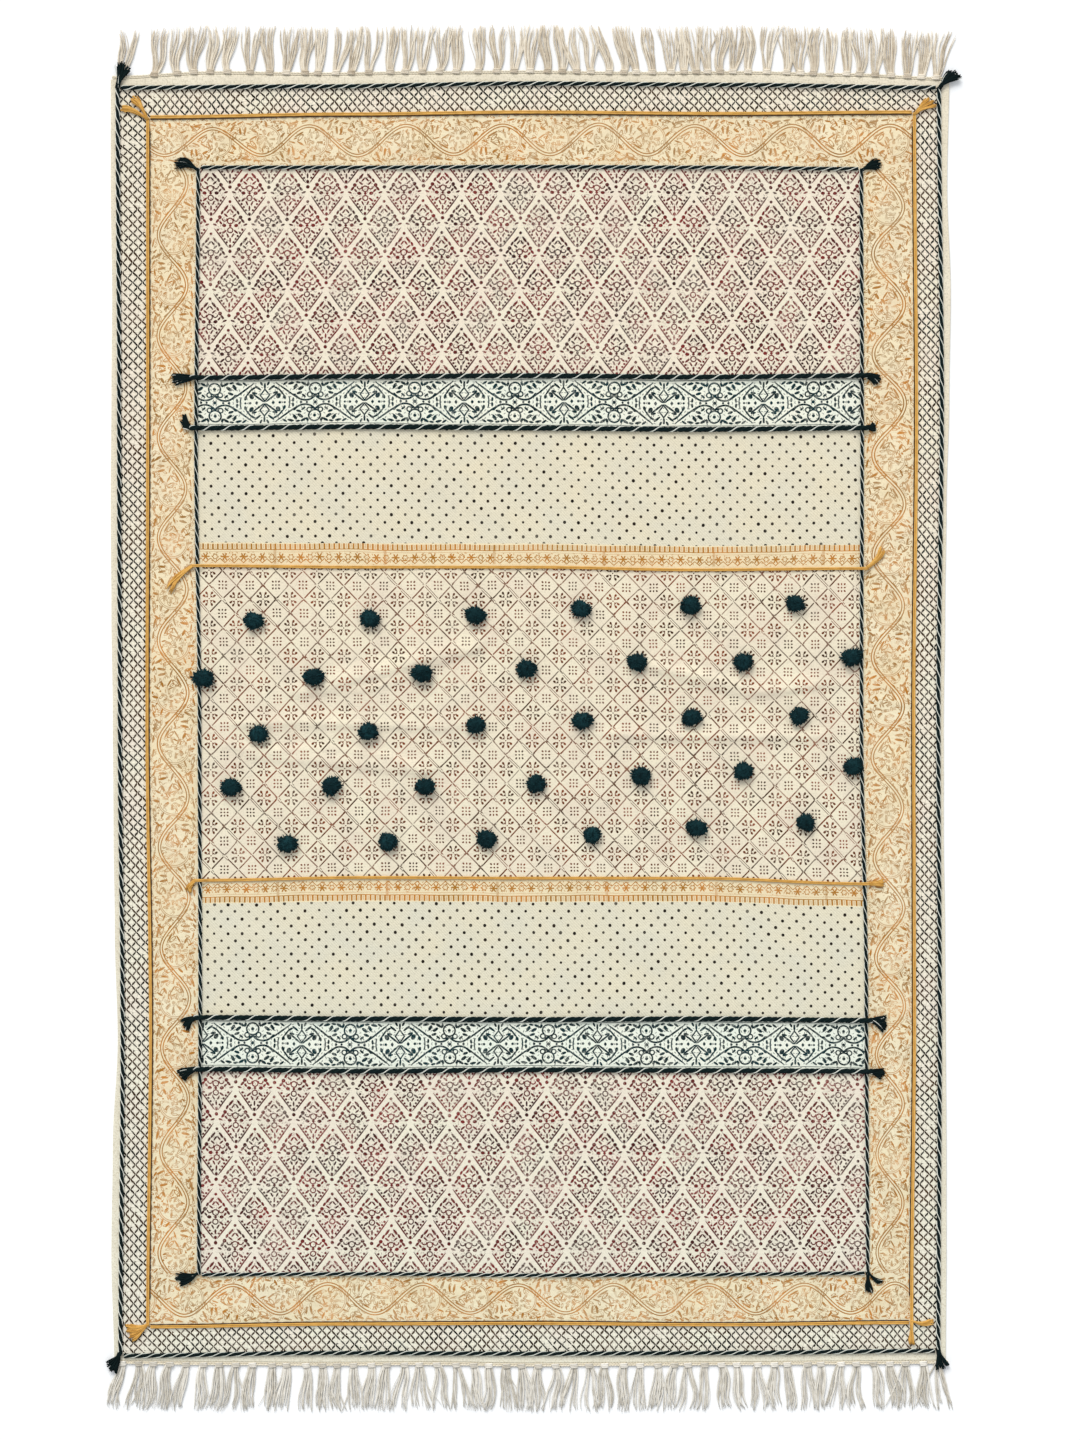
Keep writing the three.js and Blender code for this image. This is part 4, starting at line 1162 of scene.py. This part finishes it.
def frayedTail(kind, root, away, tips, rootZ, tipZ, seed):
    # loose yarns that leave a cord's end as a thick bunch and part towards its tips
    look = cordLooks[kind]
    draw = random.Random(seed)
    root, away, groups = root[:2], np.array(away), ([], [])
    share = np.linspace(0, 1, tails["stations"])[:, None]
    for tip in np.array(tips, float):
        length = math.hypot(*tip)
        aside = np.array([-tip[1], tip[0]]) / length
        for k in range(look["perTip"]):
            grow, offset = draw.uniform(*tails["grow"]), draw.uniform(-1, 1)
            spread = aside * (offset * look["tailSpread"] + draw.gauss(0, tails["stray"]))
            across = away[::-1] * offset * look["width"] * tails["rootShare"]
            startZ = rootZ + draw.uniform(*tails["rootLift"]) * look["height"]
            start = [*(root - away * tails["back"] + across), startZ]
            end = [*(root + tip * grow + spread), tipZ + draw.uniform(*tails["endLift"])]
            turned = away * length * tails["bend"] + tip * draw.uniform(*tails["bendReach"])
            bend = [*(root + turned + spread), tipZ + draw.uniform(*tails["bendLift"])]
            path = (1 - share) ** 2 * start + 2 * share * (1 - share) * bend + share**2 * end
            sway = np.sin(share * draw.uniform(4, 7) + draw.uniform(0, 3)) * draw.uniform(0.3, 1.1)
            path[:, :2] += aside * sway * share
            groups[look["strands"][-1][2] if k == tails["lightYarn"] else 0].append(path)
    radii = [np.array([tails["taper"]]) * radius * look["tailYarn"] for radius in tails["radii"]]
    return [tubes(np.array(paths), radii[k], 5, k) for k, paths in enumerate(groups) if paths]


def levelLine(cord, xs, low, high, z):
    ys = cord["y"] + reading(cord["wander"], (xs - low) / (high - low))
    return np.stack([xs, ys, np.broadcast_to(z, xs.shape)], -1)


def sideCordParts(number, name, cord):
    kind = kindOf(name)
    ys = np.linspace(cord["from"], cord["to"], cordMaking["sidePoints"])
    line = np.stack([sideX(name, ys), ys, np.full(len(ys), cordMaking["seat"])], -1)
    parts = cordParts(kind, line, number)
    if kind == "mustard":  # the field lies to the right of the left cord and to the left of the right one
        parts.append(couchingPart(line[2:-1], -1 if name.endswith("left") else 1, number))
    seat = cordMaking["seat"] + (cordMaking["outerTailLift"] if kind == "outer" else 0)
    parts += frayedTail(kind, line[0], (0, -1), cord["start"], seat, seat, number + 50)
    return parts + frayedTail(kind, line[-1], (0, 1), cord["end"], seat, seat, number + 60)


def endCordParts(number, name, cord):
    kind = kindOf(name)
    clear = cordLooks[kind]["width"] / 2 + cordMaking["endClear"]
    low = sideX(f"cord_{kind}_left", cord["y"]) + clear
    high = sideX(f"cord_{kind}_right", cord["y"]) - clear
    line = levelLine(cord, np.linspace(low, high, cordMaking["endPoints"]), low, high, cordMaking["seat"])
    parts = cordParts(kind, line, number + 20)
    if kind == "mustard":
        parts.append(couchingPart(line, -1 if name.endswith("top") else 1, number))
    return parts


def crossCordParts(number, name, cord):
    kind, overhang = kindOf(name), crossing["overhang"]
    low, high = sideX("cord_inner_left", cord["y"]), sideX("cord_inner_right", cord["y"])
    xs = np.concatenate([np.linspace(low - overhang, low + 16, 12), np.linspace(low + 24, high - 24, 60),
                         np.linspace(high - 16, high + overhang, 12)])
    away = np.minimum(np.abs(xs - low), np.abs(xs - high))
    share = np.clip((away - crossing["top"]) / (crossing["reach"] - crossing["top"]), 0, 1)
    lift = crossing["lift"] * np.cos(share * np.pi / 2) ** 2
    line = levelLine(cord, xs, low, high, cordMaking["seat"] + lift)
    parts = cordParts(kind, line, number + 40)
    for side, tips, end in ((-1, cord["left"], line[0]), (1, cord["right"], line[-1])):
        moved = [(x - side * overhang, y) for x, y in tips]
        parts += frayedTail(kind, end, (side, 0), moved, end[2], cordMaking["seat"], number * 2 + side + 80)
    return parts


def makeCords(cords, partsOf):
    pieces = []
    for number, (name, cord) in enumerate(cords.items()):
        mustard = kindOf(name) in mustardKinds
        materials = [yarns[yarn] for yarn in (("mustard", "brown") if mustard else ("green", "white"))]
        piece = meshPiece("twisted_" + name, partsOf(number, name, cord), materials)
        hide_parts(name)
        pieces.append(piece)
    return pieces


cordMade = makeCords(sideCords, sideCordParts) + makeCords(endCords, endCordParts)
cordMade += makeCords(crossCords, crossCordParts)
print("cords made", sum(len(p.data.polygons) for p in cordMade))


fringe = {
    "margin": 14,
    "reach": 70,
    "yarns": 8,
    "yarnRadius": 1.12,
    "wisps": 7,
    "wispRadius": 0.5,
    "rootWidth": 8.0,
    "tipWidth": 14.4,
    "rootHeight": 1.9,
    "uneven": (-9.0, 1.5),  # of the reach
    "parting": 4.6,
    "belly": 5.0,
    "stray": 8.0,
    "strayShare": 0.16,
    "taper": [1, 1, 1, 1, 1, 1, 0.97, 0.9, 0.72, 0.4],
    "knotRadius": 1.4,
    "stripReach": 598,
    "stripStations": 840,
    "stripPitch": 8.5,
    "stripStrands": [(1.5, 0.0), (1.5, 0.5), (4.0, 0.2), (4.0, 0.7)],  # from the edge, and the turn's start
    "topX": [  # where each bunch of the top end is tied on
        -590, -538, -505, -481, -458, -433, -401, -373, -349, -322, -304, -278, -256, -231, -200, -179,
        -154, -130, -106, -75, -48, -23, 0, 25, 46, 67, 87, 113, 134, 152, 175, 202, 220, 238, 254, 272,
        290, 312, 339, 367, 387, 405, 429, 453, 471, 494, 517, 540, 560, 581,
    ],
    "bottomBunches": 50,
    "lean": {
        "top": [14, 2, 3, 9, 10, 8, 6, 0, -12, -14, -3, 3, 1, 5, 2, 10],
        "bottom": [-12, -9, -12, -3, 2, -7, 3, 6, -6, 3, -7, 4, 5, -4, 6, 4],
    },
}


def fringeBunch(draw, rootX, edge, outward, lean, curls, splits):
    # the yarns of one bunch, which leave a knot side by side and part towards their tips
    share = np.linspace(0, 1, 10)
    snake = curls[0] * np.sin(share * np.pi) + curls[1] * np.sin(share * 2 * np.pi)
    paths, radii = [], []
    for k in range(fringe["yarns"] + fringe["wisps"]):
        wisp = k >= fringe["yarns"]
        across = draw.uniform(-0.5, 0.5) if wisp else k / (fringe["yarns"] - 1) - 0.5
        parting = math.copysign(fringe["parting"], across) if splits else 0
        reach = fringe["reach"] + draw.uniform(*fringe["uneven"])
        stray = draw.gauss(0, fringe["stray"]) if draw.random() > 1 - fringe["strayShare"] else 0
        tipX = lean + across * fringe["tipWidth"] + parting + stray + draw.gauss(0, 1.9)
        root = across * fringe["rootWidth"] * draw.uniform(0.7, 1.0)
        belly = across * fringe["belly"] * np.sin(share * np.pi)
        x = rootX + root * (1 - share) + tipX * share**1.25 + belly + snake
        x += np.sin(share * draw.uniform(4, 9) + draw.uniform(0, 6)) * draw.uniform(0.6, 2.5) * share
        y = edge + outward * (1.0 + share * (reach - 1.0))
        height = draw.uniform(1.2, 3.2) - fringe["rootHeight"]
        z = fringe["rootHeight"] + height * np.minimum(share * 4, 1) * (1 - 0.55 * share)
        radius = fringe["wispRadius" if wisp else "yarnRadius"] * draw.uniform(0.8, 1.1)
        paths.append(np.stack([x, y, np.maximum(z, radius)], -1))
        radii.append(radius * np.array(fringe["taper"]))
    turns = np.linspace(0, 2 * np.pi * 2.4, 26)
    wrapY = edge + outward * (1.8 + turns / (2 * np.pi) * 2.2)
    knot = np.stack([rootX + np.cos(turns) * 5.0, wrapY, 2.7 + np.sin(turns) * 1.2], -1)
    return paths, radii, knot


def makeFringe(end):
    outward = -1 if end == "bottom" else 1
    draw = random.Random(300 + outward)
    reach, count = halfWidth - fringe["margin"], fringe["bottomBunches"]
    spots = fringe["topX"]
    if end == "bottom":
        spots = [reach * (2 * k / (count - 1) - 1) + 3.5 * wobble(k, outward) for k in range(count)]
    paths, radii, knots = [], [], []
    for bunch, rootX in enumerate(spots):
        rootX = min(max(rootX, -reach), reach)
        lean = float(reading(fringe["lean"][end], bunch / (len(spots) - 1))) + 6 * wobble(bunch, outward + 2)
        curls = (3.4 * wobble(bunch, outward + 5), 2.2 * wobble(bunch, outward + 7))
        splits = wobble(bunch, outward + 9) > 0.35
        made = fringeBunch(draw, rootX, float(edgeY(end, rootX)), outward, lean, curls, splits)
        paths += made[0]
        radii += made[1]
        knots.append(made[2])
    parts = [tubes(paths, radii, 5), tubes(knots, fringe["knotRadius"], 5)]
    xs = np.linspace(-fringe["stripReach"], fringe["stripReach"], fringe["stripStations"])
    for offset, start in fringe["stripStrands"]:
        turn = 2 * np.pi * (xs / fringe["stripPitch"] + start)
        y = edgeY(end, xs) + outward * (offset + np.cos(turn) * 0.6)
        parts.append(tubes(np.stack([xs, y, 2.0 + np.sin(turn) * 0.6], -1)[None], 0.95, 4, 1))
    # painted cooler light: the bottom fringe takes the cooler-lit copy of the natural yarn
    yarn = yarns["natural" if end == "top" else "naturalPaintedCoolLight"]
    piece = meshPiece("yarn_fringe_" + end, parts, [yarn, yarns["strip"]])
    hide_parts("fringe_" + end)
    return piece


fringeMade = [makeFringe(end) for end in ("top", "bottom")]
print("fringe made", sum(len(p.data.polygons) for p in fringeMade))


pompoms = {
    "radius": 13.6,
    "height": 13.0,
    "tufts": 400,
    "tuftRadii": (0.76, 0.87, 0.68),
    "goldenTurn": 2.399963,  # radians from one tuft to the next
    "unevenRadius": 0.04,
    "lobes": [(2, 0.05), (3, 0.045), (5, 0.035)],  # lobes round it, and how far they stand out
    "coreRings": 9,
    "coreShare": 0.82,
    "rows": {
        "a": [(-395, 141), (-229, 144), (-78, 149), (73, 158), (229, 163), (379, 166)],
        "b": [(-467, 59), (-309, 61), (-155, 66), (-5, 72), (153, 82), (305, 82), (460, 89)],
        "c": [(-388, -21), (-231, -17), (-77, -8), (75, -2), (231, 3), (385, 5)],
        "d": [(-428, -97), (-284, -95), (-150, -96), (9, -92), (159, -81), (305, -74), (462, -67)],
        "e": [(-347, -178), (-203, -175), (-62, -171), (89, -165), (238, -155), (394, -147)],
    },
}


def makePompomRow(row):
    draw = np.random.default_rng(ord(row))
    spots, count, half = pompoms["rows"][row], pompoms["tufts"], pompoms["height"] / 2
    stack = np.linspace(-0.8, 0.8, pompoms["coreRings"])  # heights of the core's rings
    paths, cores = [], []
    for number, (x, y) in enumerate(spots):
        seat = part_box(f"pompom_{row}{number + 1}")[0].z * 1000
        radius = pompoms["radius"] * (1 + pompoms["unevenRadius"] * draw.uniform(-1, 1))
        middle = np.array([x, y, seat + half * 0.92])
        k = np.arange(count) + 0.5
        rise = 1 - 1.72 * k / count  # from the top to the foot
        turn = k * pompoms["goldenTurn"] + draw.uniform(-0.25, 0.25, count)
        level = np.sqrt(np.clip(1 - rise**2, 0, 1))
        heading = np.stack([np.cos(turn) * level, np.sin(turn) * level, rise], -1)
        heading = unit(heading + draw.normal(0, 0.07, (count, 3)))
        squash = np.array([radius * draw.uniform(0.98, 1.08), radius * draw.uniform(0.84, 0.96), half])
        bearing = np.arctan2(heading[:, 1], heading[:, 0])
        lobes = sum(size * np.cos(times * bearing + draw.uniform(0, 6)) for times, size in pompoms["lobes"])
        stray = (draw.random(count) > 0.9) * draw.uniform(0.08, 0.26, count)
        uneven = 0.98 + lobes * level + draw.normal(0, 0.08, count) + stray
        low = middle + heading * squash * 0.45
        high = middle + heading * squash * uneven[:, None]
        high[:, 2] = np.maximum(high[:, 2], seat + 0.6)
        paths.append(np.stack([low, (low + high) / 2, high], 1))
        cores.append([(x, y, middle[2] + level * half) for level in stack])
    profile = pompoms["radius"] * pompoms["coreShare"] * np.sqrt(1 - stack**2)
    parts = [tubes(np.concatenate(paths), [pompoms["tuftRadii"]], 4), tubes(cores, profile[None], 10)]
    piece = meshPiece("pompom_row_" + row, parts, [yarns["tuft"]])
    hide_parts(*[f"pompom_{row}{k + 1}" for k in range(len(spots))])
    return piece


pompomMade = [makePompomRow(row) for row in pompoms["rows"]]
print("pompoms made", sum(len(p.data.polygons) for p in pompomMade))
